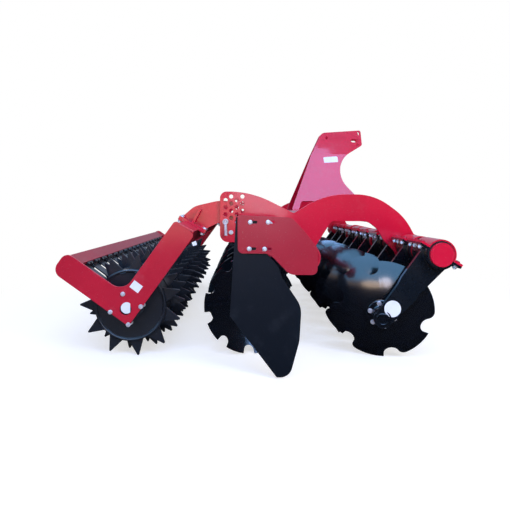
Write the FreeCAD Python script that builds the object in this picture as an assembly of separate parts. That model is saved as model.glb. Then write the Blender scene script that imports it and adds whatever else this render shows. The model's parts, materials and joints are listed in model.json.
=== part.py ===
import FreeCAD, Part
import math
import os

# A mounted compact disc harrow. Millimetres; +X is the direction of travel, +Y is left, +Z is up.
# The floor is z = 0, and the origin lies on it under the middle of the machine's length and width.

# ---------------------------------------------------------------- discs and their hubs
DISC_D = 560.0                 # over the teeth
DISC_T = 5.0
DISC_SPHERE_R = 600.0          # radius of the dish
DISC_FLAT_D = 160.0            # flat centre that the hub bolts to
DISC_PITCH = 250.0
DISCS_PER_ROW = 10
CUT_ANGLE = 14.0               # disc plane against the direction of travel
TILT_ANGLE = 9.0               # disc plane against the vertical
FRONT_NOTCHES = 6
FRONT_NOTCH_R = 42.0
REAR_NOTCHES = 10
REAR_NOTCH_R = 30.0
NOTCH_SINK = 0.55              # notch's centre under the rim, as a share of its radius
NOTCH_FLARE = 12.0             # how far a notch's straight sides open outwards
FRONT_LEAD_ROUND = 34.0        # round on the leading corner of each front tooth
FRONT_PHASE = -31.0
REAR_PHASE = 10.0
PHASE_STEP = 23.0              # each disc has stopped at its own angle

FLANGE_D = 160.0
FLANGE_T = 12.0
HUB_D = 100.0
HUB_L = 28.0
SPINDLE_D = 40.0
SPINDLE_DEPTH = 32.0
CUTTER = 2000.0                # cutting blocks reach this far, past every piece
RUNNING_GAP = 0.1              # radial, spindle in hub and shaft in bearing
FACE_GAP = 5.0                 # between a turning face and a still one

# ---------------------------------------------------------------- beams and arms
ROW_SPACING = 726.0
BEAM_D = 127.0
BEAM_WALL = 8.0
BEAM_Z = 600.0
FRONT_BEAM_X = 780.0
BEAM_AHEAD_OF_DISC = 266.0
BEAM_OVERHANG = 15.0           # front beam past its last clamp
CAP_T = 6.0
RUBBER_T = 9.0
SHELL_T = 7.5
CLAMP_L = 190.0
CLAMP_SPLIT_ANGLE = 149.0      # direction of the bolted flange above and behind the beam
CLAMP_FLANGE_T = 12.0
CLAMP_FLANGE_REACH = 45.0
CLAMP_BOLT_D = 16.0
CLAMP_BOLT_PITCH = 62.5
CLAMP_BOLTS = 3
ARM_T = 20.0
ARM_HEAD_R = 84.0
ARM_FOOT_R = 47.0
ARM_UPPER_OFFSET = 110.0       # middle of the plate's upper part from the disc's rim plane
ARM_JOGGLE = 18.0
ARM_JOGGLE_AT = 190.0          # along the arm, from its foot
ARM_JOGGLE_L = 45.0

# ---------------------------------------------------------------- side plates and cross tubes
SIDE_Y = 875.0
SIDE_T = 15.0
SIDE_RING_R = 88.0             # metal round each beam
TUBE_D = 90.0
TUBE_WALL = 8.0
FRONT_TUBE_X = 670.0
MIDDLE_TUBE_X = 150.0
TUBE_Z = 785.0
DEPTH_HOLE_D = 26.0
DEPTH_COLUMNS = 4
DEPTH_COLUMN_PITCH = 35.5
DEPTH_ROW_PITCH = 45.5
DEPTH_HOLE_X = -370.5
DEPTH_HOLE_Z = 758.0
DEPTH_ROWS = 4
DEPTH_PIN_D = 24.0
DEPTH_PIN_GAP = 0.4

# ---------------------------------------------------------------- tower and lower hitch
TOWER_GAP = 70.0
TOWER_T = 12.0
TOWER_BEND_DROP = 170.0        # bend under the top link bore
TOWER_SPLAY = 20.0
TOP_LINK_X = 689.0
TOP_LINK_Z = 1460.0
TOP_LINK_D = 26.0
TOP_SLOT_L = 60.0
LINK_SPREAD = 825.0
LINK_PIN_D = 28.0
LINK_PIN_L = 60.0              # free length that the tractor's ball end slides on
LINK_PIN_Z = 540.0
LINK_END_R = 50.0
LINK_SHANK_D = 40.0
LINK_COLLAR_D = 60.0
CHEEK_T = 20.0

# ---------------------------------------------------------------- side shields
SHIELD_Y = 1483.0
SHIELD_T = 6.0
BRACKET_T = 10.0
SHIELD_FLANGE = 30.0
SHIELD_CLEAR = 12.0            # over the floor
SHIELD_BOLT_D = 12.0
SHIELD_HOLE_D = 14.0
SHIELD_HEAD_D = 23.0
SHIELD_HEAD_T = 7.0            # the bolt heads are the machine's widest points
SHIELD_SLOT_L = 46.0

# ---------------------------------------------------------------- roller and its frame
ROLLER_X = -903.0
TIP_R = 292.0
DRUM_D = 406.0
DRUM_WALL = 8.0
RINGS = 19
RING_PITCH = 125.0
TEETH = 11
TOOTH_T = 12.0
TOOTH_BASE = 86.0
TOOTH_TIP = 8.0
DRUM_OVERHANG = 15.0
SHAFT_D = 50.0
BEARING_D = 120.0
BEARING_T = 36.0
END_PLATE_Y = 1237.0
END_PLATE_T = 12.0
END_ARM_W = 133.0
SHAFT_HOLE_D = 64.0
ROLLER_TUBE = 100.0
ROLLER_TUBE_WALL = 6.0
ROLLER_TUBE_X = -604.0
ROLLER_TUBE_Z = 694.0
ROLLER_TUBE_ANGLE = -28.7
SCRAPER_BEAM = 80.0
SCRAPER_BEAM_WALL = 6.0
SCRAPER_BEAM_X = -1217.0
SCRAPER_BEAM_Z = 527.0
SCRAPER_W = 84.0
SCRAPER_T = 8.0
SCRAPER_GAP = 6.0
PIVOT_X = -100.0
PIVOT_Z = 735.0
PIVOT_D = 40.0
PIVOT_EYE_R = 52.0
ROLLER_ARM_T = 20.0
ROLLER_ARM_GAP = 7.5
ARM_FLANGE_L = 190.0
ARM_FLANGE_W = 130.0
ARM_FLANGE_T = 15.0

# ---------------------------------------------------------------- worked out from the above
DISC_R = DISC_D / 2
BEAM_R = BEAM_D / 2
RUBBER_R = BEAM_R + RUBBER_T
SHELL_R = RUBBER_R + SHELL_T
DISC_X = {"front": FRONT_BEAM_X - BEAM_AHEAD_OF_DISC}
DISC_X["rear"] = DISC_X["front"] - ROW_SPACING
BEAM_X = {"front": FRONT_BEAM_X, "rear": FRONT_BEAM_X - ROW_SPACING}
SIDE_OF = {"front": 1, "rear": -1}          # the rear row is the front one mirrored left to right
CLAMP_OFFSET = DISC_PITCH / 4               # clamp's middle from its disc's middle
TILT = math.radians(TILT_ANGLE)
CUT = math.radians(CUT_ANGLE)
DISC_Z = DISC_R * math.cos(TILT)
TUBE_R = TUBE_D / 2
TOWER_BEND_Z = TOP_LINK_Z - TOWER_BEND_DROP
TOOTH_STEP = 360.0 / TEETH
TIP_LEAN = math.radians(TOOTH_STEP / 4) - math.atan2(TOOTH_TIP / 2, TIP_R)
ROLLER_Z = math.hypot(TIP_R, TOOTH_TIP / 2) * math.cos(TIP_LEAN)   # it rests on two rows of tips
END_TIP = (-1227.0, 520.0)
END_TOP = (-578.0, 738.0)
ROLLER_ARM_Y = SIDE_Y - SIDE_T / 2 - ROLLER_ARM_GAP - ROLLER_ARM_T / 2
Y_AXIS = FreeCAD.Vector(0, 1, 0)
ORIGIN = FreeCAD.Vector(0, 0, 0)


def vec(x, y, z):
    return FreeCAD.Vector(x, y, z)


# ---------------------------------------------------------------- shapes used by many pieces
def rounded_wire(corners, y=0.0):
    """Closed outline in the XZ plane from (x, z, radius) corners, each rounded by its radius."""
    points = [vec(x, y, z) for x, z, _ in corners]
    starts, middles, ends = [], [], []
    for i, (_, _, radius) in enumerate(corners):
        corner = points[i]
        back = (points[i - 1] - corner).normalize()
        ahead = (points[(i + 1) % len(points)] - corner).normalize()
        half = back.getAngle(ahead) / 2
        reach = radius / math.tan(half)
        inward = (back + ahead).normalize()
        starts.append(corner + back * reach)
        middles.append(corner + inward * (radius / math.sin(half) - radius))
        ends.append(corner + ahead * reach)
    edges = []
    for i, (_, _, radius) in enumerate(corners):
        if radius > 0:
            edges.append(Part.Arc(starts[i], middles[i], ends[i]).toShape())
        following = starts[(i + 1) % len(corners)]
        if (following - ends[i]).Length > 1e-6:
            edges.append(Part.LineSegment(ends[i], following).toShape())
    return Part.Wire(edges)


def plate(corners, y_middle, thickness):
    """Flat plate across Y with a rounded outline."""
    face = Part.Face(rounded_wire(corners, y_middle - thickness / 2))
    return face.extrude(vec(0, thickness, 0))


def rod(x, z, radius, y_from, y_to):
    """Solid cylinder along Y."""
    return Part.makeCylinder(radius, y_to - y_from, vec(x, y_from, z), Y_AXIS)


def pipe(x, z, radius, wall, y_from, y_to):
    return rod(x, z, radius, y_from, y_to).cut(rod(x, z, radius - wall, y_from, y_to))


def hull_of_circles(x1, z1, r1, x2, z2, r2, y_from, y_to):
    """Two round ends joined by their outer tangents, as a solid along Y."""
    along = math.atan2(z2 - z1, x2 - x1)
    distance = math.hypot(x2 - x1, z2 - z1)
    lean = math.acos((r1 - r2) / distance)
    corners = []
    for x, z, r, sign in ((x1, z1, r1, 1), (x2, z2, r2, 1), (x2, z2, r2, -1), (x1, z1, r1, -1)):
        angle = along + sign * lean
        corners.append(vec(x + r * math.cos(angle), y_from, z + r * math.sin(angle)))
    web = Part.Face(Part.makePolygon(corners + corners[:1])).extrude(vec(0, y_to - y_from, 0))
    return web.multiFuse([rod(x1, z1, r1, y_from, y_to), rod(x2, z2, r2, y_from, y_to)]).removeSplitter()


def slot(x, z, length, width, y_from, y_to):
    reach = (length - width) / 2
    return hull_of_circles(x - reach, z, width / 2, x + reach, z, width / 2 - 1e-3, y_from, y_to)


def box_tube(x, z, size, wall, angle, half_length):
    """Square tube along Y, turned by its angle."""
    outer = Part.makeBox(size, 2 * half_length, size, vec(x - size / 2, -half_length, z - size / 2))
    inside = size - 2 * wall
    bore = Part.makeBox(inside, 2 * half_length, inside,
                        vec(x - inside / 2, -half_length, z - inside / 2))
    tube = outer.cut(bore)
    tube.rotate(vec(x, 0, z), Y_AXIS, -angle)
    return tube


def mirrored(shape):
    """The same piece on the machine's other side."""
    return shape.mirror(ORIGIN, Y_AXIS)


def both_sides(shape):
    return Part.makeCompound([shape, mirrored(shape)])


# ---------------------------------------------------------------- discs
def disc_axis(row):
    """From the middle of the disc's rim plane towards the arm that carries it."""
    side = SIDE_OF[row]
    return vec(-math.sin(CUT) * math.cos(TILT), -side * math.cos(CUT) * math.cos(TILT), -math.sin(TILT))


def disc_centres(row):
    side = SIDE_OF[row]
    first = -DISC_PITCH * (DISCS_PER_ROW - 1) / 2 - DISC_PITCH / 4
    return [vec(DISC_X[row], side * (first + DISC_PITCH * i), DISC_Z) for i in range(DISCS_PER_ROW)]


def dish_height(radius, sphere_r):
    """Height of the dish over the rim plane at a radius."""
    return math.sqrt(sphere_r ** 2 - radius ** 2) - math.sqrt(DISC_SPHERE_R ** 2 - DISC_R ** 2)


def dished_blank():
    """Round disc with its axis on Z, its rim at z = 0 and its flat centre raised."""
    outer_r, inner_r = DISC_SPHERE_R, DISC_SPHERE_R - DISC_T
    flat = DISC_FLAT_D / 2
    half_way = (flat + DISC_R) / 2
    top = dish_height(flat, outer_r)
    under = dish_height(flat, inner_r)
    outer = [vec(flat, 0, top), vec(half_way, 0, dish_height(half_way, outer_r)), vec(DISC_R, 0, 0)]
    rim_r = DISC_R - DISC_T
    inner = [vec(rim_r, 0, dish_height(rim_r, inner_r)), vec(half_way, 0, dish_height(half_way, inner_r)),
             vec(flat, 0, under)]
    edges = [
        Part.LineSegment(vec(0, 0, top), outer[0]).toShape(),
        Part.Arc(*outer).toShape(),
        Part.LineSegment(outer[2], inner[0]).toShape(),
        Part.Arc(*inner).toShape(),
        Part.LineSegment(inner[2], vec(0, 0, under)).toShape(),
        Part.LineSegment(vec(0, 0, under), vec(0, 0, top)).toShape(),
    ]
    return Part.Face(Part.Wire(edges)).revolve(ORIGIN, vec(0, 0, 1), 360)


def notch_edges(radius, flare, lead_round):
    """Edges of a notch along +X, from its trailing corner on the rim to its leading one."""
    centre = vec(DISC_R - radius * NOTCH_SINK, 0, 0)
    slope = math.tan(math.radians(flare))
    b = centre.x + slope * radius
    c = centre.x ** 2 + radius ** 2 - DISC_R ** 2
    run = (math.sqrt(b ** 2 - (1 + slope ** 2) * c) - b) / (1 + slope ** 2)
    low = centre + vec(0, -radius, 0)
    trailing = low + vec(run, -slope * run, 0)
    deepest = centre + vec(-radius, 0, 0)
    if lead_round == 0:
        high = centre + vec(0, radius, 0)
        leading = high + vec(run, slope * run, 0)
        return [Part.LineSegment(trailing, low), Part.Arc(low, deepest, high),
                Part.LineSegment(high, leading)]
    x = ((DISC_R - lead_round) ** 2 - (radius + lead_round) ** 2 + centre.x ** 2) / (2 * centre.x)
    pole = vec(x, math.sqrt((DISC_R - lead_round) ** 2 - x ** 2), 0)
    inner = centre + (pole - centre) * (radius / (radius + lead_round))
    leading = pole * (DISC_R / (DISC_R - lead_round))
    bulge = ((inner - pole) + (leading - pole)).normalize()
    return [Part.LineSegment(trailing, low), Part.Arc(low, deepest, inner),
            Part.Arc(inner, pole + bulge * lead_round, leading)]


def toothed_prism(notches, radius, flare, lead_round):
    """Disc's outline seen along its axis, as a tall prism."""
    depth = 3 * DISC_SPHERE_R
    around = vec(0, 0, 1)
    notch = Part.Wire([edge.toShape() for edge in notch_edges(radius, flare, lead_round)])
    trailing, leading = notch.OrderedVertexes[0].Point, notch.OrderedVertexes[-1].Point
    following = FreeCAD.Rotation(around, 360.0 / notches).multVec(trailing)
    crest = (leading + following).normalize() * DISC_R
    tooth = Part.Wire([Part.Arc(leading, crest, following).toShape()])
    edges = []
    for i in range(notches):
        for piece in (notch, tooth):
            turned = piece.copy()
            turned.rotate(ORIGIN, around, 360.0 * i / notches)
            edges += turned.Edges
    outline = Part.Face(Part.Wire(Part.__sortEdges__(edges)))
    outline.translate(vec(0, 0, -depth / 2))
    return outline.extrude(vec(0, 0, depth))


def notched_disc(notches, notch_r, flare, lead_round):
    """Disc with the turning half of its hub, axis on Z, rim at z = 0."""
    disc = dished_blank().common(toothed_prism(notches, notch_r, flare, lead_round))
    face = dish_height(DISC_FLAT_D / 2, DISC_SPHERE_R)
    flange = Part.makeCylinder(FLANGE_D / 2, FLANGE_T, vec(0, 0, face))
    hub = Part.makeCylinder(HUB_D / 2, HUB_L, vec(0, 0, face + FLANGE_T))
    hub_end = face + FLANGE_T + HUB_L
    bore = Part.makeCylinder(SPINDLE_D / 2 + RUNNING_GAP, SPINDLE_DEPTH + FACE_GAP,
                             vec(0, 0, hub_end - SPINDLE_DEPTH - FACE_GAP))
    return disc.multiFuse([flange, hub]).cut(bore).removeSplitter()


def seat_disc(shape, row, centre, phase):
    """Copy of a disc, turned to its phase and set on its axis."""
    placed = shape.copy()
    placed.rotate(ORIGIN, vec(0, 0, 1), phase)
    turn = FreeCAD.Rotation(vec(0, 0, 1), disc_axis(row))
    placed.Placement = FreeCAD.Placement(centre, turn).multiply(placed.Placement)
    return placed


def disc_pieces():
    patterns = {
        "front": (notched_disc(FRONT_NOTCHES, FRONT_NOTCH_R, NOTCH_FLARE, FRONT_LEAD_ROUND), FRONT_PHASE),
        "rear": (notched_disc(REAR_NOTCHES, REAR_NOTCH_R, NOTCH_FLARE, 0), REAR_PHASE),
    }
    pieces = {}
    for row, (shape, first_phase) in patterns.items():
        for i, centre in enumerate(disc_centres(row)):
            name = f"disc_{row}_{i + 1:02d}"
            pieces[name] = seat_disc(shape, row, centre, first_phase + PHASE_STEP * i)
    return pieces


# ---------------------------------------------------------------- arms, clamps and rubbers
def split_slab(side):
    """Everything on one side of the clamp's joint, for a beam at the origin. Side 1 is above."""
    slab = Part.makeBox(CUTTER, CUTTER, CUTTER, vec(-CUTTER / 2, -CUTTER / 2, 0 if side > 0 else -CUTTER))
    slab.rotate(ORIGIN, Y_AXIS, 180 - CLAMP_SPLIT_ANGLE)
    return slab


def clamp_half(side):
    """Half shell round the rubber with its two bolted flanges, for a beam at the origin."""
    half_l = CLAMP_L / 2
    shell = rod(0, 0, SHELL_R, -half_l, half_l)
    reach = SHELL_R + CLAMP_FLANGE_REACH
    base = 0 if side > 0 else -CLAMP_FLANGE_T
    flange = Part.makeBox(2 * reach, CLAMP_L, CLAMP_FLANGE_T, vec(-reach, -half_l, base))
    flange.rotate(ORIGIN, Y_AXIS, 180 - CLAMP_SPLIT_ANGLE)
    half = shell.fuse(flange).cut(rod(0, 0, RUBBER_R, -half_l, half_l))
    return half.common(split_slab(side)).cut(clamp_bolt_holes())


def clamp_bolt_holes():
    radius = SHELL_R + CLAMP_FLANGE_REACH * 0.55
    holes = []
    for i in range(CLAMP_BOLTS):
        y = (i - (CLAMP_BOLTS - 1) / 2) * CLAMP_BOLT_PITCH
        for x in (-radius, radius):
            holes.append(Part.makeCylinder(CLAMP_BOLT_D / 2, 4 * CLAMP_FLANGE_T,
                                           vec(x, y, -2 * CLAMP_FLANGE_T)))
    holes = Part.makeCompound(holes)
    holes.rotate(ORIGIN, Y_AXIS, 180 - CLAMP_SPLIT_ANGLE)
    return holes


def arm_foot():
    """Middle of the arm's round foot from the beam's middle, on the front row's first side."""
    axis = disc_axis("front")
    along = (ARM_UPPER_OFFSET + ARM_JOGGLE) / -axis.y
    x = axis.x * along - BEAM_AHEAD_OF_DISC
    z = DISC_Z + axis.z * along - BEAM_Z
    return x, z


def arm_sheet():
    """Joggled sheet that the arm is cut from: its upper part lies nearer the disc."""
    foot_x, foot_z = arm_foot()
    upper = CLAMP_OFFSET - ARM_UPPER_OFFSET
    lower = upper - ARM_JOGGLE
    far = 3 * DISC_R
    joggle_end = ARM_JOGGLE_AT + ARM_JOGGLE_L
    middle = [(-far, lower), (ARM_JOGGLE_AT, lower), (joggle_end, upper), (far, upper)]
    edge = [vec(along, y - ARM_T / 2, -far) for along, y in middle]
    edge += [vec(along, y + ARM_T / 2, -far) for along, y in reversed(middle)]
    sheet = Part.Face(Part.makePolygon(edge + edge[:1])).extrude(vec(0, 0, 2 * far))
    sheet.rotate(ORIGIN, Y_AXIS, -math.degrees(math.atan2(-foot_z, -foot_x)))
    sheet.translate(vec(foot_x, 0, foot_z))
    return sheet


def spindle():
    """Still half of the hub: boss and spindle, for a beam at the origin."""
    axis = disc_axis("front")
    centre = vec(-BEAM_AHEAD_OF_DISC, CLAMP_OFFSET, DISC_Z - BEAM_Z)
    hub_end = dish_height(DISC_FLAT_D / 2, DISC_SPHERE_R) + FLANGE_T + HUB_L
    plate_middle = (ARM_UPPER_OFFSET + ARM_JOGGLE) / -axis.y
    pin_start = hub_end - SPINDLE_DEPTH
    pin = Part.makeCylinder(SPINDLE_D / 2, plate_middle - pin_start, centre + axis * pin_start, axis)
    boss_start = hub_end + FACE_GAP
    boss = Part.makeCylinder(HUB_D / 2 - FACE_GAP, plate_middle - boss_start,
                             centre + axis * boss_start, axis)
    return pin.fuse(boss)


def disc_arm():
    """Arm plate with the lower half of its clamp and the spindle, for a beam at the origin."""
    foot_x, foot_z = arm_foot()
    blade = hull_of_circles(0, 0, ARM_HEAD_R, foot_x, foot_z, ARM_FOOT_R, -DISC_PITCH, DISC_PITCH)
    blade = blade.common(arm_sheet()).common(split_slab(-1))
    blade = blade.cut(rod(0, 0, RUBBER_R, -DISC_PITCH, DISC_PITCH))
    return blade.multiFuse([clamp_half(-1), spindle()]).removeSplitter()


def rubber_ring():
    return pipe(0, 0, RUBBER_R, RUBBER_T, -CLAMP_L / 2, CLAMP_L / 2)


def along_row(shape, row):
    """One copy of a front-row piece at each disc of a row, mirrored for the rear row."""
    copies = []
    for centre in disc_centres(row):
        copy = shape.copy() if row == "front" else mirrored(shape)
        copy.translate(vec(BEAM_X[row], centre.y - SIDE_OF[row] * CLAMP_OFFSET, BEAM_Z))
        copies.append(copy)
    return Part.makeCompound(copies)


def arm_pieces():
    arm, cap, rubber = disc_arm(), clamp_half(1), rubber_ring()
    pieces = {}
    for row in ("front", "rear"):
        pieces[f"{row}_disc_arms"] = along_row(arm, row)
        pieces[f"{row}_clamp_caps"] = along_row(cap, row)
        pieces[f"{row}_clamp_rubbers"] = along_row(rubber, row)
    return pieces


# ---------------------------------------------------------------- frame
def beam(row):
    """Round beam with its two end caps."""
    if row == "front":
        half = abs(disc_centres(row)[0].y) + CLAMP_OFFSET + CLAMP_L / 2 + BEAM_OVERHANG
    else:
        half = SHIELD_Y
    tube = pipe(BEAM_X[row], BEAM_Z, BEAM_R, BEAM_WALL, -half, half)
    inner = BEAM_R - BEAM_WALL
    caps = [rod(BEAM_X[row], BEAM_Z, inner, -half, -half + CAP_T),
            rod(BEAM_X[row], BEAM_Z, inner, half - CAP_T, half)]
    return tube.multiFuse(caps).removeSplitter()


def depth_holes(first_row):
    """Centres of the staggered holes that set the roller's height."""
    centres = []
    for column in range(DEPTH_COLUMNS):
        for row in range(first_row, DEPTH_ROWS):
            rise = DEPTH_ROW_PITCH * (row + 0.5 * (column % 2))
            centres.append((DEPTH_HOLE_X + DEPTH_COLUMN_PITCH * column, DEPTH_HOLE_Z + rise))
    return centres


def side_plate():
    """Wavy plate on the right-hand side that carries both beams, both tubes and the roller arm."""
    front, rear, ring = BEAM_X["front"], BEAM_X["rear"], SIDE_RING_R
    back = DEPTH_HOLE_X - DEPTH_COLUMN_PITCH
    rear_crest = DEPTH_HOLE_Z + DEPTH_ROW_PITCH * (DEPTH_ROWS + 0.2)
    front_crest = TUBE_Z + 146
    corners = [
        (back, DEPTH_HOLE_Z - 130, 52),
        (back, rear_crest, 42),
        (back + 196, rear_crest, 600),
        (MIDDLE_TUBE_X - 90, TUBE_Z + 27, 14),
        (MIDDLE_TUBE_X + 112, front_crest, 480),
        (FRONT_TUBE_X - 100, front_crest, 350),
        (FRONT_TUBE_X + 91, TUBE_Z + 4, 350),
        (front + 41, BEAM_Z + 78, 12),
        (front + ring, BEAM_Z + 65, 48),
        (front + ring, BEAM_Z - ring, ring),
        (front - ring * 0.6, BEAM_Z - ring, 60),
        (front - 87, BEAM_Z - 25, 80),
        (front - 150, BEAM_Z + 38, 120),
        (front - 193, BEAM_Z + 114, 90),
        (front - 252, BEAM_Z + 161, 90),
        (rear + 245, BEAM_Z + 161, 30),
        (rear + 130, BEAM_Z - 20, 80),
        (rear + ring * 0.9, BEAM_Z - ring, 60),
        (rear - ring * 1.1, BEAM_Z - ring, 80),
        (back + 130, DEPTH_HOLE_Z - 130, 90),
    ]
    body = plate(corners, -SIDE_Y, SIDE_T)
    y_from, y_to = -SIDE_Y - SIDE_T, -SIDE_Y + SIDE_T
    cuts = [rod(front, BEAM_Z, BEAM_R, y_from, y_to), rod(rear, BEAM_Z, BEAM_R, y_from, y_to),
            rod(PIVOT_X, PIVOT_Z, PIVOT_D / 2, y_from, y_to)]
    cuts += [rod(x, z, DEPTH_HOLE_D / 2, y_from, y_to) for x, z in depth_holes(0)]
    return body.cut(Part.makeCompound(cuts))


def cross_tube(x, z):
    half = SIDE_Y - SIDE_T / 2
    return pipe(x, z, TUBE_R, TUBE_WALL, -half, half)


def depth_pin():
    """Pin under the right-hand roller arm, with its ring and hanging handle."""
    outside = -SIDE_Y - SIDE_T / 2
    radius = DEPTH_PIN_D / 2
    pin = rod(DEPTH_HOLE_X, DEPTH_HOLE_Z, radius, outside - 22, outside + SIDE_T + ROLLER_ARM_T + 18)
    collar = rod(DEPTH_HOLE_X, DEPTH_HOLE_Z, radius + 6, outside - 14, outside)
    handle = Part.makeCylinder(radius * 0.8, 95, vec(DEPTH_HOLE_X, outside - 22, DEPTH_HOLE_Z + 8),
                               vec(0.03, 0, -1))
    return pin.multiFuse([collar, handle]).removeSplitter()


def pivot_pin():
    """Pin that the right-hand roller arm turns on."""
    outside = -SIDE_Y - SIDE_T / 2
    inside = -ROLLER_ARM_Y + ROLLER_ARM_T / 2
    pin = rod(PIVOT_X, PIVOT_Z, PIVOT_D / 2, outside - 14, inside + 14)
    head = rod(PIVOT_X, PIVOT_Z, PIVOT_D / 2 + 10, outside - 14, outside)
    collar = rod(PIVOT_X, PIVOT_Z, PIVOT_D / 2 + 10, inside + 4, inside + 14)
    return pin.multiFuse([head, collar]).removeSplitter()


# ---------------------------------------------------------------- tower and hitch
def tower_sheet():
    """Sheet for the right-hand tower plate: upright above the bend, splayed out below it."""
    outside = TOWER_GAP / 2 + TOWER_T
    splay = math.tan(math.radians(TOWER_SPLAY))
    middle = outside - TOWER_T / 2
    points = [(middle, CUTTER), (middle, TOWER_BEND_Z),
              (middle + TOWER_BEND_Z * splay, 0)]
    edge = [vec(0, -y - TOWER_T / 2, z) for y, z in points]
    edge += [vec(0, -y + TOWER_T / 2, z) for y, z in reversed(points)]
    sheet = Part.Face(Part.makePolygon(edge + edge[:1])).extrude(vec(2 * CUTTER, 0, 0))
    sheet.translate(vec(-CUTTER, 0, 0))
    return sheet


def tower_plate():
    """Right-hand plate of the headstock, stood on the rear cross tube and holding the front one."""
    rear_foot = TUBE_Z + TUBE_R * 0.9
    front_foot = TUBE_Z - 28
    arch_z = TUBE_Z + 115
    corners = [
        (MIDDLE_TUBE_X - 26, rear_foot, 14),
        (MIDDLE_TUBE_X + 152, TOWER_BEND_Z - 8, 300),
        (TOP_LINK_X - 300, TOP_LINK_Z + 8, 50),
        (TOP_LINK_X + 23, TOP_LINK_Z + 28, 18),
        (TOP_LINK_X + 36, TOP_LINK_Z - 96, 20),
        (TOP_LINK_X - 257, TOWER_BEND_Z - 107, 190),
        (FRONT_TUBE_X + 72, TUBE_Z + 42, 40),
        (FRONT_TUBE_X + 60, front_foot, 20),
        (FRONT_TUBE_X - 62, front_foot, 20),
        (FRONT_TUBE_X - 100, arch_z, 60),
        (MIDDLE_TUBE_X + 56, arch_z, 24),
        (MIDDLE_TUBE_X + 28, rear_foot, 14),
    ]
    blank = plate(corners, -TOWER_BEND_Z / 2, TOWER_BEND_Z)
    y_from, y_to = -TOWER_BEND_Z, 0
    cuts = [rod(TOP_LINK_X, TOP_LINK_Z, TOP_LINK_D / 2, y_from, y_to),
            slot(TOP_LINK_X - 25, TOP_LINK_Z - 58, TOP_SLOT_L, TOP_LINK_D, y_from, y_to),
            rod(TOP_LINK_X - 258, TOP_LINK_Z - 34, 10, y_from, y_to),
            rod(TOP_LINK_X - 2, TOP_LINK_Z - 92, 10, y_from, y_to),
            rod(MIDDLE_TUBE_X, TUBE_Z, TUBE_R, y_from, y_to),
            rod(FRONT_TUBE_X, TUBE_Z, TUBE_R, y_from, y_to)]
    return blank.common(tower_sheet()).cut(Part.makeCompound(cuts))


def link_pin_x():
    """The hitch reaches as far ahead of the origin as the end plates reach behind it."""
    return -end_plate().optimalBoundingBox().XMin - LINK_END_R


def cheek_outside():
    """Outer face of the right-hand cheek; the ball end sits midway along the pin beyond it."""
    return -(LINK_SPREAD - LINK_PIN_L) / 2


def hitch_bracket():
    """Right-hand lower link cheek, welded round the front beam."""
    pin_x = link_pin_x()
    y_from = cheek_outside()
    y_to = y_from + CHEEK_T
    x, z = BEAM_X["front"], BEAM_Z
    cheek = hull_of_circles(x, z, SIDE_RING_R, pin_x, LINK_PIN_Z, LINK_END_R, y_from, y_to)
    cuts = [rod(x, z, BEAM_R, y_from, y_to),
            rod(pin_x, LINK_PIN_Z, LINK_SHANK_D / 2, y_from, y_to)]
    return cheek.cut(Part.makeCompound(cuts))


def link_pin():
    """Right-hand lower link pin: free end outside, shank through the cheek, collar inside."""
    x, y = link_pin_x(), cheek_outside()
    free_end = rod(x, LINK_PIN_Z, LINK_PIN_D / 2, y - LINK_PIN_L, y)
    shank = rod(x, LINK_PIN_Z, LINK_SHANK_D / 2, y, y + CHEEK_T)
    collar = rod(x, LINK_PIN_Z, LINK_COLLAR_D / 2, y + CHEEK_T, y + CHEEK_T + 14)
    return free_end.multiFuse([shank, collar]).removeSplitter()


# ---------------------------------------------------------------- side shields
def shield_bolt_spots():
    """Centres of the four bolts that hold the shield to its bracket."""
    x = BEAM_X["rear"] - 278
    z = BEAM_Z + 175
    return [(x, z), (x + 87, z), (x - 5, z - 130), (x + 70, z - 131)]


def shield_bracket():
    """Right-hand bracket plate on the end of the rear beam."""
    x, z = BEAM_X["rear"], BEAM_Z
    corners = [
        (x - 341, z + 210, 20),
        (x - 75, z + 197, 40),
        (x - 10, z + 128, 60),
        (x + 54, z + 45, 40),
        (x + 50, z - 83, 28),
        (x - 84, z - 83, 60),
        (x - 156, z - 8, 70),
        (x - 190, z + 21, 50),
        (x - 339, z + 22, 26),
    ]
    blank = plate(corners, -SHIELD_Y - BRACKET_T / 2, BRACKET_T)
    y_from, y_to = -SHIELD_Y - 2 * BRACKET_T, -SHIELD_Y + BRACKET_T
    cuts = [slot(sx + SHIELD_SLOT_L / 4, sz, SHIELD_SLOT_L, SHIELD_HOLE_D, y_from, y_to)
            for sx, sz in shield_bolt_spots()]
    return blank.cut(Part.makeCompound(cuts))


def side_shield():
    """Right-hand shield plate with a flange folded in along its rear edge."""
    x, z = BEAM_X["rear"], BEAM_Z
    rear_top = (x - 348, z + 200)
    rear_low = (x - 378, z - 287)
    corners = [
        (*rear_top, 4),
        (x - 190, z + 190, 20),
        (x - 196, z + 20, 30),
        (x - 140, z - 45, 60),
        (x - 120, z - 100, 50),
        (x - 26, z - 240, 120),
        (x - 36, z - 410, 200),
        (x - 85, SHIELD_CLEAR, 60),
        (x - 148, SHIELD_CLEAR, 8),
        (*rear_low, 6),
    ]
    sheet = plate(corners, -SHIELD_Y + SHIELD_T / 2, SHIELD_T)
    fold = [vec(rear_top[0], 0, rear_top[1] - 4), vec(rear_top[0] + SHIELD_T, 0, rear_top[1] - 4),
            vec(rear_low[0] + SHIELD_T, 0, rear_low[1] + 6), vec(rear_low[0], 0, rear_low[1] + 6)]
    flange = Part.Face(Part.makePolygon(fold + fold[:1])).extrude(vec(0, SHIELD_FLANGE, 0))
    flange.translate(vec(0, -SHIELD_Y, 0))
    y_from, y_to = -SHIELD_Y - SHIELD_T, -SHIELD_Y + 2 * SHIELD_T
    holes = [rod(sx, sz, SHIELD_HOLE_D / 2, y_from, y_to) for sx, sz in shield_bolt_spots()]
    return sheet.fuse(flange).cut(Part.makeCompound(holes)).removeSplitter()


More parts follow.
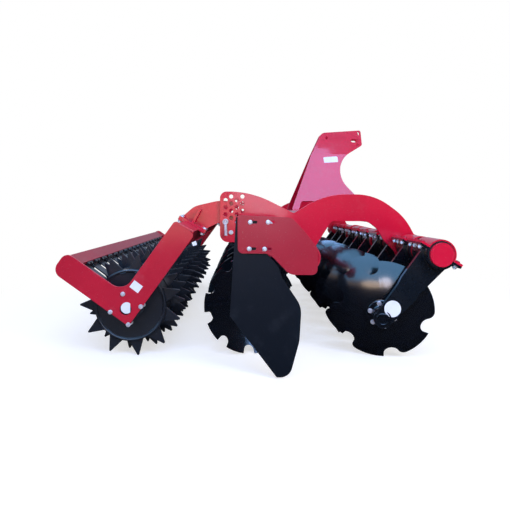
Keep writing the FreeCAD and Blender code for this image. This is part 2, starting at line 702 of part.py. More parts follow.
def shield_bolts():
    """Right-hand shield's bolts: flat round heads outside, nuts inside."""
    outside = -SHIELD_Y - BRACKET_T
    inside = -SHIELD_Y + SHIELD_T
    bolts = []
    for x, z in shield_bolt_spots():
        head = rod(x, z, SHIELD_HEAD_D / 2, outside - SHIELD_HEAD_T, outside)
        shank = rod(x, z, SHIELD_BOLT_D / 2, outside, inside + SHIELD_BOLT_D)
        nut = rod(x, z, SHIELD_HEAD_D / 2, inside, inside + SHIELD_BOLT_D * 0.8)
        bolts.append(head.multiFuse([shank, nut]).removeSplitter())
    return Part.makeCompound(bolts)


# ---------------------------------------------------------------- roller frame
def roller_arm():
    """Right-hand curved arm from its pivot on the side plate back to the roller frame."""
    top_z = DEPTH_HOLE_Z + 128
    rest_z = DEPTH_HOLE_Z + DEPTH_PIN_D / 2 + DEPTH_PIN_GAP
    tube_x, tube_z = ROLLER_TUBE_X, ROLLER_TUBE_Z
    angle = math.radians(ROLLER_TUBE_ANGLE)
    along = (math.cos(angle), math.sin(angle))
    up = (-math.sin(angle), math.cos(angle))
    face = ROLLER_TUBE / 2 + ARM_FLANGE_T
    seat = (tube_x + up[0] * face, tube_z + up[1] * face)
    half = ARM_FLANGE_L / 2 - 12
    corners = [
        (seat[0] - along[0] * half, seat[1] - along[1] * half, 0),
        (seat[0] - along[0] * half + 75, top_z - 30, 120),
        (DEPTH_HOLE_X - 20, top_z + 12, 260),
        (PIVOT_X - 70, PIVOT_Z + 110, 120),
        (PIVOT_X + PIVOT_EYE_R, PIVOT_Z + PIVOT_EYE_R, PIVOT_EYE_R - 1),
        (PIVOT_X + PIVOT_EYE_R, PIVOT_Z - PIVOT_EYE_R, PIVOT_EYE_R - 1),
        (PIVOT_X - 60, PIVOT_Z - PIVOT_EYE_R, 40),
        (DEPTH_HOLE_X + 80, rest_z, 60),
        (DEPTH_HOLE_X - 4, rest_z, 30),
        (seat[0] + along[0] * half, seat[1] + along[1] * half, 0),
    ]
    web = plate(corners, -ROLLER_ARM_Y, ROLLER_ARM_T)
    y_from, y_to = -ROLLER_ARM_Y - ROLLER_ARM_T, -ROLLER_ARM_Y + ROLLER_ARM_T
    holes = [rod(x, z, DEPTH_HOLE_D / 2, y_from, y_to) for x, z in depth_holes(1)
             if z < top_z - DEPTH_HOLE_D]
    holes.append(rod(PIVOT_X, PIVOT_Z, PIVOT_D / 2 + RUNNING_GAP, y_from, y_to))
    flange = Part.makeBox(ARM_FLANGE_L, ARM_FLANGE_W, ARM_FLANGE_T,
                          vec(-ARM_FLANGE_L / 2, -ARM_FLANGE_W / 2, ROLLER_TUBE / 2))
    rib = Part.makeBox(ARM_FLANGE_T, ARM_FLANGE_W * 0.42, 96,
                       vec(-10, -ARM_FLANGE_W * 0.42 - ROLLER_ARM_T / 2, face))
    seat_parts = flange.fuse(rib)
    seat_parts.rotate(ORIGIN, Y_AXIS, -ROLLER_TUBE_ANGLE)
    seat_parts.translate(vec(tube_x, -ROLLER_ARM_Y, tube_z))
    return web.cut(Part.makeCompound(holes)).fuse(seat_parts).removeSplitter()


def offset_corner(before, corner, after, distance):
    """Where two lines beside a bent centre line meet, each at a distance to its left."""
    def left_line(start, end):
        length = math.hypot(end[0] - start[0], end[1] - start[1])
        step = ((end[0] - start[0]) / length, (end[1] - start[1]) / length)
        shift = (-step[1] * distance, step[0] * distance)
        return (start[0] + shift[0], start[1] + shift[1]), step
    (ax, az), (adx, adz) = left_line(before, corner)
    (bx, bz), (bdx, bdz) = left_line(corner, after)
    t = ((bx - ax) * bdz - (bz - az) * bdx) / (adx * bdz - adz * bdx)
    return ax + adx * t, az + adz * t


def end_plate():
    """Right-hand V-shaped end plate: rear arm, vertex at the roller's shaft and front arm."""
    half = END_ARM_W / 2
    vertex = (ROLLER_X, ROLLER_Z)

    def end_corners(tip, reach):
        length = math.hypot(tip[0] - vertex[0], tip[1] - vertex[1])
        out = ((tip[0] - vertex[0]) / length, (tip[1] - vertex[1]) / length)
        far = (tip[0] + out[0] * reach, tip[1] + out[1] * reach)
        return ((far[0] - out[1] * half, far[1] + out[0] * half),
                (far[0] + out[1] * half, far[1] - out[0] * half))

    rear_left, rear_right = end_corners(END_TIP, half - 14)
    front_left, front_right = end_corners(END_TOP, 0)
    inner = offset_corner(END_TIP, vertex, END_TOP, half)
    outer = offset_corner(END_TIP, vertex, END_TOP, -half)
    corners = [(*rear_right, 44), (*inner, 78), (*front_left, 20), (*front_right, 26),
               (*outer, 24), (*rear_left, 52)]
    blank = plate(corners, -END_PLATE_Y, END_PLATE_T)
    hole = rod(ROLLER_X, ROLLER_Z, SHAFT_HOLE_D / 2, -END_PLATE_Y - END_PLATE_T, -END_PLATE_Y + END_PLATE_T)
    return blank.cut(hole)


def bearing():
    """Right-hand flange bearing on the inside of the end plate."""
    face = -END_PLATE_Y + END_PLATE_T / 2
    body = rod(ROLLER_X, ROLLER_Z, BEARING_D / 2, face, face + BEARING_T)
    return body.cut(rod(ROLLER_X, ROLLER_Z, SHAFT_D / 2 + RUNNING_GAP, face, face + BEARING_T))


def scraper_angle():
    """Direction from the roller's axis out to the scraper beam."""
    return math.degrees(math.atan2(SCRAPER_BEAM_Z - ROLLER_Z, SCRAPER_BEAM_X - ROLLER_X))


def scraper():
    """One scraper blade from the beam's front face down to just over the drum."""
    toward = math.hypot(SCRAPER_BEAM_X - ROLLER_X, SCRAPER_BEAM_Z - ROLLER_Z)
    root = toward - SCRAPER_BEAM / 2
    tip = DRUM_D / 2 + SCRAPER_GAP
    blade = Part.makeBox(root - tip, SCRAPER_W, SCRAPER_T, vec(tip, -SCRAPER_W / 2, -SCRAPER_T / 2))
    foot = Part.makeBox(SCRAPER_T, SCRAPER_W, SCRAPER_BEAM * 0.9,
                        vec(root - SCRAPER_T, -SCRAPER_W / 2, -SCRAPER_BEAM * 0.45))
    shape = blade.fuse(foot)
    shape.rotate(ORIGIN, Y_AXIS, -scraper_angle())
    shape.translate(vec(ROLLER_X, 0, ROLLER_Z))
    return shape.removeSplitter()


def scrapers():
    blade = scraper()
    copies = []
    for i in range(RINGS - 1):
        copy = blade.copy()
        copy.translate(vec(0, (i - (RINGS - 2) / 2) * RING_PITCH, 0))
        copies.append(copy)
    return Part.makeCompound(copies)


# ---------------------------------------------------------------- roller
def tooth():
    """One flat tooth pointing along +X, its root inside the drum's wall."""
    root = DRUM_D / 2 - DRUM_WALL / 2
    base, tip = TOOTH_BASE / 2, TOOTH_TIP / 2
    points = [vec(root, -TOOTH_T / 2, -base), vec(TIP_R, -TOOTH_T / 2, -tip),
              vec(TIP_R, -TOOTH_T / 2, tip), vec(root, -TOOTH_T / 2, base)]
    return Part.Face(Part.makePolygon(points + points[:1])).extrude(vec(0, TOOTH_T, 0))


def roller():
    """Drum with its rings of teeth, each ring half a step on from the last, and its shafts."""
    half = (RINGS - 1) * RING_PITCH / 2 + DRUM_OVERHANG
    drum = pipe(0, 0, DRUM_D / 2, DRUM_WALL, -half, half)
    heads = []
    for side in (-1, 1):
        y_from = -half if side < 0 else half - DRUM_WALL
        heads.append(rod(0, 0, DRUM_D / 2 - DRUM_WALL, y_from, y_from + DRUM_WALL))
        shaft_end = END_PLATE_Y + END_PLATE_T / 2
        y_from = -shaft_end if side < 0 else half - DRUM_WALL
        heads.append(rod(0, 0, SHAFT_D / 2, y_from, y_from + shaft_end - half + DRUM_WALL))
    one = tooth()
    teeth = []
    for ring in range(RINGS):
        for i in range(TEETH):
            copy = one.copy()
            copy.rotate(ORIGIN, Y_AXIS, 90 + TOOTH_STEP * (i - 0.25 + 0.5 * (ring % 2)))
            copy.translate(vec(0, (ring - (RINGS - 1) / 2) * RING_PITCH, 0))
            teeth.append(copy)
    body = drum.multiFuse(heads + teeth).removeSplitter()
    body.translate(vec(ROLLER_X, 0, ROLLER_Z))
    return body


# ---------------------------------------------------------------- all the pieces
def all_pieces():
    inside_ends = END_PLATE_Y - END_PLATE_T / 2
    pieces = {
        "front_beam": beam("front"),
        "rear_beam": beam("rear"),
        "front_cross_tube": cross_tube(FRONT_TUBE_X, TUBE_Z),
        "middle_cross_tube": cross_tube(MIDDLE_TUBE_X, TUBE_Z),
        "depth_pins": both_sides(depth_pin()),
        "roller_pivot_pins": both_sides(pivot_pin()),
        "lower_link_pins": both_sides(link_pin()),
        "shield_bolts": both_sides(shield_bolts()),
        "roller_cross_tube": box_tube(ROLLER_TUBE_X, ROLLER_TUBE_Z, ROLLER_TUBE, ROLLER_TUBE_WALL,
                                      ROLLER_TUBE_ANGLE, inside_ends),
        "scraper_beam": box_tube(SCRAPER_BEAM_X, SCRAPER_BEAM_Z, SCRAPER_BEAM, SCRAPER_BEAM_WALL,
                                 scraper_angle(), inside_ends),
        "scrapers": scrapers(),
        "roller_bearings": both_sides(bearing()),
        "packer_roller": roller(),
    }
    handed = {
        "side_plate": side_plate(),
        "tower_plate": tower_plate(),
        "hitch_bracket": hitch_bracket(),
        "shield_bracket": shield_bracket(),
        "side_shield": side_shield(),
        "roller_arm": roller_arm(),
        "roller_end_plate": end_plate(),
    }
    for name, shape in handed.items():
        pieces[f"{name}_right"] = shape
        pieces[f"{name}_left"] = mirrored(shape)
    pieces.update(arm_pieces())
    pieces.update(disc_pieces())
    return pieces


os.makedirs("parts", exist_ok=True)
for name, shape in all_pieces().items():
    shape.exportStep(f"parts/{name}.step")
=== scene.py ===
import json
import math

import bmesh
import bpy
from mathutils import Matrix, Vector

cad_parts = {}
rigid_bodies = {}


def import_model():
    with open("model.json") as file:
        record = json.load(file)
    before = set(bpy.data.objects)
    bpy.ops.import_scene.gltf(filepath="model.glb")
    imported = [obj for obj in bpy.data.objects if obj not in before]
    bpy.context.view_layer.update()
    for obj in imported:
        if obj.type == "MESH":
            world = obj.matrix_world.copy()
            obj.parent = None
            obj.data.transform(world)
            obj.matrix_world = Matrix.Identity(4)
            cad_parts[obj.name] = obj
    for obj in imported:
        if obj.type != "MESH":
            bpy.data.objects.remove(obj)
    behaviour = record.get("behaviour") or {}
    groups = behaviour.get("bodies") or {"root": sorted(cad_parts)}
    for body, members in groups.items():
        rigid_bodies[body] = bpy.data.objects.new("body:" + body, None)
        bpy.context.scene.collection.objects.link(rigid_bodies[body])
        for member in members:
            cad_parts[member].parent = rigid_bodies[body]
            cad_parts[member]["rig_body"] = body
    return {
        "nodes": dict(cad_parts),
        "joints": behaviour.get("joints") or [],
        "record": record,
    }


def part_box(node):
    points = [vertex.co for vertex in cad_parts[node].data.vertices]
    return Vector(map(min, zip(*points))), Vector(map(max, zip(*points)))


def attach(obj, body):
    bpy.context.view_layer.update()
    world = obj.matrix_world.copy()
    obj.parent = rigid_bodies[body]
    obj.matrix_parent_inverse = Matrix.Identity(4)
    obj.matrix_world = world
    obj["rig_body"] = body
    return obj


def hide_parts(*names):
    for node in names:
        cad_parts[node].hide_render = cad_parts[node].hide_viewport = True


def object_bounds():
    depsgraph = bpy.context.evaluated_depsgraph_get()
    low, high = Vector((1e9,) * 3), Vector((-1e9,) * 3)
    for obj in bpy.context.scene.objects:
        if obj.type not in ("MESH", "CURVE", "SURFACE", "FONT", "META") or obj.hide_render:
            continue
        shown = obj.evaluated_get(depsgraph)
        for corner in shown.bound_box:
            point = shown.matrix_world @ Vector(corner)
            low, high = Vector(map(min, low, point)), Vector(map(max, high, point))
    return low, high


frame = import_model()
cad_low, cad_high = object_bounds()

# Looks of a mounted compact disc harrow. Metres; +X is the direction of travel, +Y left, +Z up.

X, Y, Z = Vector((1, 0, 0)), Vector((0, 1, 0)), Vector((0, 0, 1))
ORIGIN = Vector((0, 0, 0))
TURN = 2 * math.pi
HAND = {"right": -1, "left": 1}             # sign of y on each side of the machine
ROWS = {"front": 1, "rear": -1}             # the rear row is the front one mirrored left to right
joints = {joint["name"]: joint for joint in frame["joints"]}

# ---------------------------------------------------------------- sizes shared with the frame
DISCS_PER_ROW = 10
DISC_R, DISC_T, SPHERE_R, FLAT_R = 0.280, 0.005, 0.600, 0.080
NOTCHES = {"front": (6, 0.042, 0.034), "rear": (10, 0.030, 0.0)}   # count, radius, lead round
NOTCH_SINK, NOTCH_FLARE = 0.55, math.radians(12)
PHASES = {"front": (-31, 23), "rear": (10, 23)}                    # first disc, step to the next
FLANGE_R, FLANGE_T, HUB_R, HUB_L, BORE_R = 0.080, 0.012, 0.050, 0.028, 0.0202
HUB_BOLTS, HUB_BOLT_R = 6, 0.065
BEAM_R, SHELL_R = 0.0635, 0.080
CLAMP_OFFSET, CLAMP_BOLT_PITCH, CLAMP_BOLT_REACH = 0.0625, 0.0625, 0.108
CLAMP_SPLIT, CLAMP_FLANGE_T = math.radians(149), 0.012
ARM_T, ARM_UPPER, ARM_LOWER = 0.020, 0.110, 0.128                 # plate's middle from its disc
BOSS_R = 0.045
SIDE_T, TUBE_R = 0.015, 0.045
TOWER_T, TOWER_MIDDLE, TOWER_BEND = 0.012, 0.041, 1.290           # plate's middle over its bend
TOWER_SPLAY = math.radians(20)
FOOT_REACH = (math.radians(129), math.radians(30))                # half the arc round each tube
TEETH, RINGS, RING_PITCH, RING_T = 11, 19, 0.125, 0.015
DRUM_R, DRUM_HALF, STUB_R = 0.203, 1.140, 0.026
CROSS_SIZE, CROSS_TILT, SCRAPER_SIZE = 0.100, math.radians(28.7), 0.080
BEAD, FINE_BEAD = 0.005, 0.0045                                   # radius of a weld
EASE, FINE_EASE = 0.0012, 0.0008                                  # rounding of edges, and of the teeth
HUB_BOLT, CLAMP_BOLT, FRAME_BOLT, SCRAPER_BOLT = 0.013, 0.0125, 0.014, 0.010   # a bolt's size


# ---------------------------------------------------------------- shader kit
class Socket:
    """An output socket that can be used in sums."""

    def __init__(self, shader, value):
        self.shader, self.value = shader, value

    def _math(self, operation, *values):
        return self.shader.node("ShaderNodeMath", {"operation": operation}, *values)

    def __add__(self, other):
        return self._math("ADD", self, other)

    def __radd__(self, other):
        return self._math("ADD", other, self)

    def __sub__(self, other):
        return self._math("SUBTRACT", self, other)

    def __rsub__(self, other):
        return self._math("SUBTRACT", other, self)

    def __mul__(self, other):
        return self._math("MULTIPLY", self, other)

    def __rmul__(self, other):
        return self._math("MULTIPLY", other, self)


class Shader:
    """A material or a world under construction, with the coordinates that its patterns start from."""

    def __init__(self, owner, surface="Principled BSDF", coordinates="Object"):
        self.owner = owner
        owner.use_nodes = True
        self.tree = owner.node_tree
        self.surface = self.tree.nodes[surface]
        self.place = self.node("ShaderNodeTexCoord", {}, output=coordinates)

    def node(self, kind, settings, *values, output=0, **named):
        """Adds a node: settings first, then its inputs in order or by name. Returns one output."""
        made = self.tree.nodes.new(kind)
        stops = settings.pop("stops", None)
        for key, setting in settings.items():
            setattr(made, key, setting)
        if stops:
            ramp = made.color_ramp.elements
            while len(ramp) < len(stops):
                ramp.new(0.5)
            for element, (position, shade) in zip(ramp, stops):
                element.position = position
                element.color = (shade, shade, shade, 1)
        for key, value in [*enumerate(values), *((k.replace("_", " "), v) for k, v in named.items())]:
            self.feed(made.inputs[key], value)
        return Socket(self, made.outputs[output])

    def feed(self, socket, value):
        if isinstance(value, Socket):
            self.tree.links.new(value.value, socket)
        elif isinstance(value, tuple) and len(value) == 3 and socket.type == "RGBA":
            socket.default_value = (*value, 1)
        elif value is not None:
            socket.default_value = value

    def stretched(self, scale, turn=(0, 0, 0)):
        return self.node("ShaderNodeMapping", {}, self.place, Scale=scale, Rotation=turn)

    def noise(self, scale, detail=3.0, roughness=0.55, place=None):
        return self.node("ShaderNodeTexNoise", {}, Vector=place or self.place, Scale=scale,
                         Detail=detail, Roughness=roughness, output="Fac")

    def ramp(self, value, *stops):
        return self.node("ShaderNodeValToRGB", {"stops": stops}, value)

    def mix(self, share, first, second):
        """Blend of two colours. Its colour inputs come after five that it doesn't use."""
        return self.node("ShaderNodeMix", {"data_type": "RGBA"}, share, *[None] * 5, first, second, output=2)

    def step(self, value, low, high):
        """Smooth step from 0 at one value to 1 at another."""
        return self.node("ShaderNodeMapRange", {"interpolation_type": "SMOOTHSTEP"}, value, low, high)

    def most(self, first, second):
        return self.node("ShaderNodeMath", {"operation": "MAXIMUM"}, first, second)

    def bump(self, height, distance):
        return self.node("ShaderNodeBump", {}, Height=height, Distance=distance, Strength=1.0)

    def up(self):
        """How far a face looks up: 1 for a flat top, 0 for a wall and below."""
        split = self.node("ShaderNodeSeparateXYZ", {},
                          self.node("ShaderNodeNewGeometry", {}, output="Normal"), output="Z")
        return self.most(split, 0.0)

    def ray(self, kind):
        """1 where the surface is met by a ray of this kind."""
        return self.node("ShaderNodeLightPath", {}, output=f"Is {kind} Ray")

    def set(self, **values):
        for key, value in values.items():
            self.feed(self.surface.inputs[key.replace("_", " ")], value)
        return self.owner


def paint(name, colour, rough, coat, coat_rough, specular=0.5, peel=1.0, wave=1.0, dust_and_sheen=0.12,
          dust_and_sheen_colour=(0.32, 0.27, 0.25), deep=0.82, scuffs=0.35, specks=0.35, coat_ior=1.5):
    """Sprayed paint: slight change of shade, orange peel, plate waviness, dust and fine scuffs; the dust is
    heavier on upward faces, and with a pinkish colour it is also a painted sheen on the tops.
    """
    s = Shader(bpy.data.materials.new(name))
    cloud = s.noise(3.1, 4)
    fine = s.noise(55, 3)
    shade = s.ramp(cloud * 0.7 + fine * 0.3, (0.3, 0), (0.7, 1))
    tone = s.mix(shade, tuple(c * deep for c in colour), colour)
    # Dust, heavier on upward faces; with a pinkish colour it also paints a sheen on the tops.
    settled_dust_and_sheen = s.ramp(s.noise(9, 6, 0.65) + s.up() * 0.22, (0.56, 0), (0.86, 1)) * dust_and_sheen
    marks = s.noise(1.0, 5, 0.7, s.stretched((9, 9, 160), (0.3, 0.9, 0.2)))
    patches = s.noise(4.0, 2)
    scratch = s.ramp(marks, (0.66, 0), (0.72, 1)) * s.ramp(patches, (0.5, 0), (0.62, 1)) * scuffs
    spatter = s.ramp(s.noise(190, 2), (0.69, 0), (0.73, 1)) * specks
    wear_dust_and_sheen = s.most(s.most(settled_dust_and_sheen, spatter), scratch * 0.5)
    base = s.mix(wear_dust_and_sheen, tone, dust_and_sheen_colour)
    skin = s.noise(420, 2) * (0.22 * peel) + s.noise(2.4, 1) * (6.0 * wave)
    return s.set(Base_Color=base, Roughness=fine * 0.08 + (rough - 0.04) + wear_dust_and_sheen * 0.5,
                 Coat_Weight=coat - wear_dust_and_sheen * coat, Coat_Roughness=coat_rough, Coat_IOR=coat_ior,
                 Specular_IOR_Level=specular, Normal=s.bump(skin, 0.0006))


def plated(name, colour, rough, deep=0.72):
    """Zinc plating: half metal, half pale bloom, with a faint mottle and fine grain."""
    s = Shader(bpy.data.materials.new(name))
    spots = s.noise(90, 4)
    base = s.mix(s.ramp(spots, (0.35, 0), (0.7, 1)), tuple(c * deep for c in colour), colour)
    return s.set(Base_Color=base, Metallic=0.5, Roughness=spots * 0.3 + rough,
                 Normal=s.bump(s.noise(300, 2), 0.0002))


def rubber_skin(name):
    s = Shader(bpy.data.materials.new(name))
    grain = s.noise(160, 4)
    base = s.mix(s.ramp(grain, (0.4, 0), (0.7, 1)), (0.005, 0.005, 0.006), (0.018, 0.017, 0.018))
    return s.set(Base_Color=base, Roughness=grain * 0.2 + 0.55, Specular_IOR_Level=0.3,
                 Normal=s.bump(grain, 0.0006))


def label_film(name):
    s = Shader(bpy.data.materials.new(name))
    grime = s.ramp(s.noise(38, 5, 0.6), (0.52, 0), (0.8, 1)) * 0.25
    base = s.mix(grime, (0.74, 0.76, 0.80), (0.5, 0.5, 0.52))
    return s.set(Base_Color=base, Roughness=s.noise(20, 2) * 0.1 + 0.28,
                 Normal=s.bump(s.noise(26, 2), 0.0008))


def weld_metal(name, colour, coat):
    """Painted weld bead with its ripples and spatter."""
    s = Shader(bpy.data.materials.new(name))
    ripples = s.noise(210, 2)
    lumps = s.noise(70, 2)
    base = s.mix(s.ramp(lumps, (0.3, 0), (0.7, 1)), tuple(c * 0.7 for c in colour), colour)
    return s.set(Base_Color=base, Roughness=0.3 + lumps * 0.15, Coat_Weight=coat,
                 Coat_Roughness=0.1, Normal=s.bump(ripples + lumps, 0.0025))


CRIMSON = (0.64, 0.0048, 0.035)
NIGHT = (0.0034, 0.0052, 0.0085)
red_paint = paint("crimson_paint", CRIMSON, 0.33, 0.8, 0.10, 0.2)
# Satin red: the lower coat is a finish, and the deeper colour is painted shade on the shield brackets, the
# scraper beam and the clamp bolt heads.
satin_red_with_painted_shade = paint("crimson_satin_paint_with_painted_shade", (0.36, 0.007, 0.024), 0.42, 0.40, 0.22, 0.25)
# End plates' red: the deeper colour is painted shade, and the pinkish dust heavier on upward faces is dust
# with a painted sheen on the tops.
red_with_dust_and_sheen = paint("crimson_dust_and_sheen_paint", (0.50, 0.0065, 0.028), 0.38, 0.65, 0.14, 0.22, dust_and_sheen=0.17,
                    dust_and_sheen_colour=(0.42, 0.25, 0.27))
black_paint = paint("black_gloss_paint", NIGHT, 0.28, 0.7, 0.06, 0.35, dust_and_sheen=0.02, scuffs=0.08, specks=0.1,
                    dust_and_sheen_colour=(0.09, 0.095, 0.11))
disc_paint = paint("black_disc_paint", NIGHT, 0.20, 1.0, 0.13, 0.8, peel=0.5, wave=0.35, dust_and_sheen=0.015,
                   scuffs=0.06, specks=0.0, dust_and_sheen_colour=(0.08, 0.085, 0.10), coat_ior=1.75)
shield_paint = paint("black_satin_paint", (0.0040, 0.0066, 0.0112), 0.42, 0.10, 0.3, 0.18, dust_and_sheen=0.10,
                     scuffs=0.75, specks=0.12, dust_and_sheen_colour=(0.13, 0.14, 0.16))
roller_paint = paint("black_roller_paint", (0.0140, 0.0172, 0.0232), 0.30, 0.5, 0.12, 0.45, dust_and_sheen=0.04,
                     scuffs=0.2, dust_and_sheen_colour=(0.13, 0.13, 0.15))
zinc = plated("zinc_plated_steel", (0.84, 0.82, 0.86), 0.20)
rubber = rubber_skin("clamp_rubber")
label_white = label_film("blank_label_film")
red_weld = weld_metal("crimson_weld", CRIMSON, 0.6)
black_weld = weld_metal("black_weld", (0.010, 0.012, 0.016), 0.5)


# ---------------------------------------------------------------- mesh helpers
def finished(name, bm, material, body, ease=0.0, corner=35, replaces=()):
    """Turns a mesh under construction into a piece that rides on its body."""
    limit = math.radians(corner)
    for face in bm.faces:
        face.smooth = True
    for edge in bm.edges:
        edge.smooth = len(edge.link_faces) == 2 and edge.calc_face_angle(0) < limit
    mesh = bpy.data.meshes.new(name)
    bm.to_mesh(mesh)
    bm.free()
    mesh.materials.append(material)
    piece = bpy.data.objects.new(name, mesh)
    bpy.context.scene.collection.objects.link(piece)
    if ease:
        bevel = piece.modifiers.new("eased_edges", "BEVEL")
        bevel.width, bevel.segments = ease, 2
        bevel.limit_method, bevel.angle_limit = "ANGLE", limit
        bevel.harden_normals = True
    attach(piece, body)
    if replaces:
        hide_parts(*replaces)


def dressed(node, material, ease):
    """A CAD piece with its seams closed, its edges eased and its round faces smooth."""
    source = frame["nodes"][node]
    bm = bmesh.new()
    bm.from_mesh(source.data)
    bmesh.ops.remove_doubles(bm, verts=bm.verts, dist=2e-5)
    bmesh.ops.dissolve_limit(bm, angle_limit=math.radians(0.4), verts=bm.verts, edges=bm.edges)
    finished(f"{node}_painted", bm, material, source["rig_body"], ease, 30, (node,))


def facing(direction, centre, spin=0.0):
    """Matrix that sets a piece made along +Z at a centre, looking along a direction."""
    turn = direction.to_track_quat("Z", "Y").to_matrix().to_4x4()
    return Matrix.Translation(centre) @ turn @ Matrix.Rotation(spin, 4, "Z")


def raised(height):
    return Matrix.Translation(Z * height)


def drum(bm, radius, depth, place, segments=16, top=None):
    """Short cylinder or cone standing on its place."""
    bmesh.ops.create_cone(bm, cap_ends=True, cap_tris=False, segments=segments, radius1=radius,
                          radius2=radius if top is None else top, depth=depth,
                          matrix=place @ raised(depth / 2))


def block(bm, size, place):
    """Plain block with its middle on its place. Returns its corners."""
    return bmesh.ops.create_cube(bm, size=1, matrix=place @ Matrix.Diagonal((*size, 1)))["verts"]


def turned(bm, outline, place, segments=32):
    """Turned piece from (radius, height) points, spun about its place's Z axis."""
    verts = [bm.verts.new(place @ Vector((r, 0, h))) for r, h in outline]
    edges = [bm.edges.new(pair) for pair in zip(verts, verts[1:])]
    axis = (place.to_3x3() @ Z).normalized()
    bmesh.ops.spin(bm, geom=verts + edges, cent=place.translation, axis=axis, angle=TURN,
                   steps=segments, use_merge=True)


WASHER_R, WASHER_T = 1.02, 0.16             # these are shares of a bolt's size
HEX_R, HEAD_TOP_R, HEAD_L, NUT_L = 0.92, 0.86, 0.55, 0.80
THREAD_R, THREAD_TOP_R, THREAD_L = 0.46, 0.40, 1.30


def bolt_head(bm, centre, direction, size, spin=0.0):
    """Hexagon head on its washer."""
    seat = facing(direction, centre, spin)
    drum(bm, size * WASHER_R, size * WASHER_T, seat)
    drum(bm, size * HEX_R, size * HEAD_L, seat @ raised(size * WASHER_T), 6, size * HEAD_TOP_R)


def bolt_nut(bm, centre, direction, size, spin=0.0):
    """Hexagon nut on its washer, with the thread's end standing out of it."""
    seat = facing(direction, centre, spin)
    drum(bm, size * WASHER_R, size * WASHER_T, seat)
    drum(bm, size * HEX_R, size * NUT_L, seat @ raised(size * WASHER_T), 6)
    drum(bm, size * THREAD_R, size * THREAD_L, seat, 10, size * THREAD_TOP_R)


def bolt(bm, centre, direction, size, grip=0.0, spin=0.0):
    """Hexagon bolt, with its nut behind where it has a grip."""
    bolt_head(bm, centre, direction, size, spin)
    if grip:
        bolt_nut(bm, centre - direction * grip, -direction, size, spin)


def ring_weld(bm, centre, axis, radius, size, start=None, angle=TURN, pace=0.014, sides=6):
    """Weld bead round an axis, or along an arc of it from a start direction."""
    out = (start or axis.orthogonal()).normalized()
    section = bmesh.ops.create_circle(bm, segments=sides, radius=size, cap_ends=False,
                                      matrix=facing(axis.cross(out), centre + out * radius))
    edges = list({edge for vert in section["verts"] for edge in vert.link_edges})
    before = set(bm.verts) - set(section["verts"])
    bmesh.ops.spin(bm, geom=section["verts"] + edges, cent=centre, axis=axis, angle=angle,
                   steps=max(4, int(radius * abs(angle) / pace)),
                   use_merge=abs(angle) >= TURN - 1e-6)
    return set(bm.verts) - before


def line_weld(bm, start, end, size, sides=6):
    """Straight weld bead."""
    run = end - start
    drum(bm, size, run.length, facing(run.normalized(), start), sides)


def closed(bm):
    """Merges doubles and turns every face outwards."""
    bmesh.ops.remove_doubles(bm, verts=bm.verts, dist=1e-6)
    bmesh.ops.recalc_face_normals(bm, faces=bm.faces)
    return bm


def box_middle(node):
    """Middle of a piece's box."""
    low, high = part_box(node)
    return (low + high) / 2


def face_y(node, hand):
    """Where a piece ends towards one side of the machine."""
    low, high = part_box(node)
    return high.y if hand > 0 else low.y


# ---------------------------------------------------------------- plates, tubes and castings
def both_sides(name):
    return [f"{name}_{side}" for side in HAND]


RED = ["front_beam", "rear_beam", "front_cross_tube", "middle_cross_tube", "front_clamp_caps",
       "rear_clamp_caps", "roller_cross_tube"]
RED += [f"{name}_{side}" for side in HAND for name in
        ("side_plate", "tower_plate", "hitch_bracket", "roller_arm")]
COATS = ((red_paint, "red_paint", RED),
         (satin_red_with_painted_shade, "red_paint", both_sides("shield_bracket") + ["scraper_beam"]),
         (red_with_dust_and_sheen, "red_paint", both_sides("roller_end_plate")),
         (black_paint, "black_paint", ["front_disc_arms", "rear_disc_arms"]),
         (shield_paint, "black_paint", both_sides("side_shield")),
         (roller_paint, "black_paint", ["roller_bearings", "scrapers"]),
         (roller_paint, "roller_steel", ["packer_roller"]),
         (rubber, "rubber", ["front_clamp_rubbers", "rear_clamp_rubbers"]),
         (zinc, "zinc", ["depth_pins", "lower_link_pins", "roller_pivot_pins"]))
for material, slot, nodes in COATS:
    for node in nodes:
        dressed(node, material, FINE_EASE if node == "packer_roller" else EASE)


# ---------------------------------------------------------------- discs
def dish(radius):
    """Height of the dish over the rim plane at a radius."""
    return math.sqrt(SPHERE_R ** 2 - radius ** 2) - math.sqrt(SPHERE_R ** 2 - DISC_R ** 2)


def swept(bm, vert, centre, angle, steps):
    """Arc of edges from a vertex round a centre on the Z axis. Returns its last vertex."""
    made = bmesh.ops.spin(bm, geom=[vert], cent=centre, axis=Z, angle=angle, steps=steps)
    return next(item for item in made["geom_last"] if isinstance(item, bmesh.types.BMVert))


def drawn_to(bm, vert, place):
    """Straight edge from a vertex to a place. Returns its far vertex."""
    far = bm.verts.new(place)
    bm.edges.new((vert, far))
    return far


def turn_from(first, second):
    """Signed turn about Z from one direction to another."""
    return math.atan2(first.cross(second).z, first.dot(second))


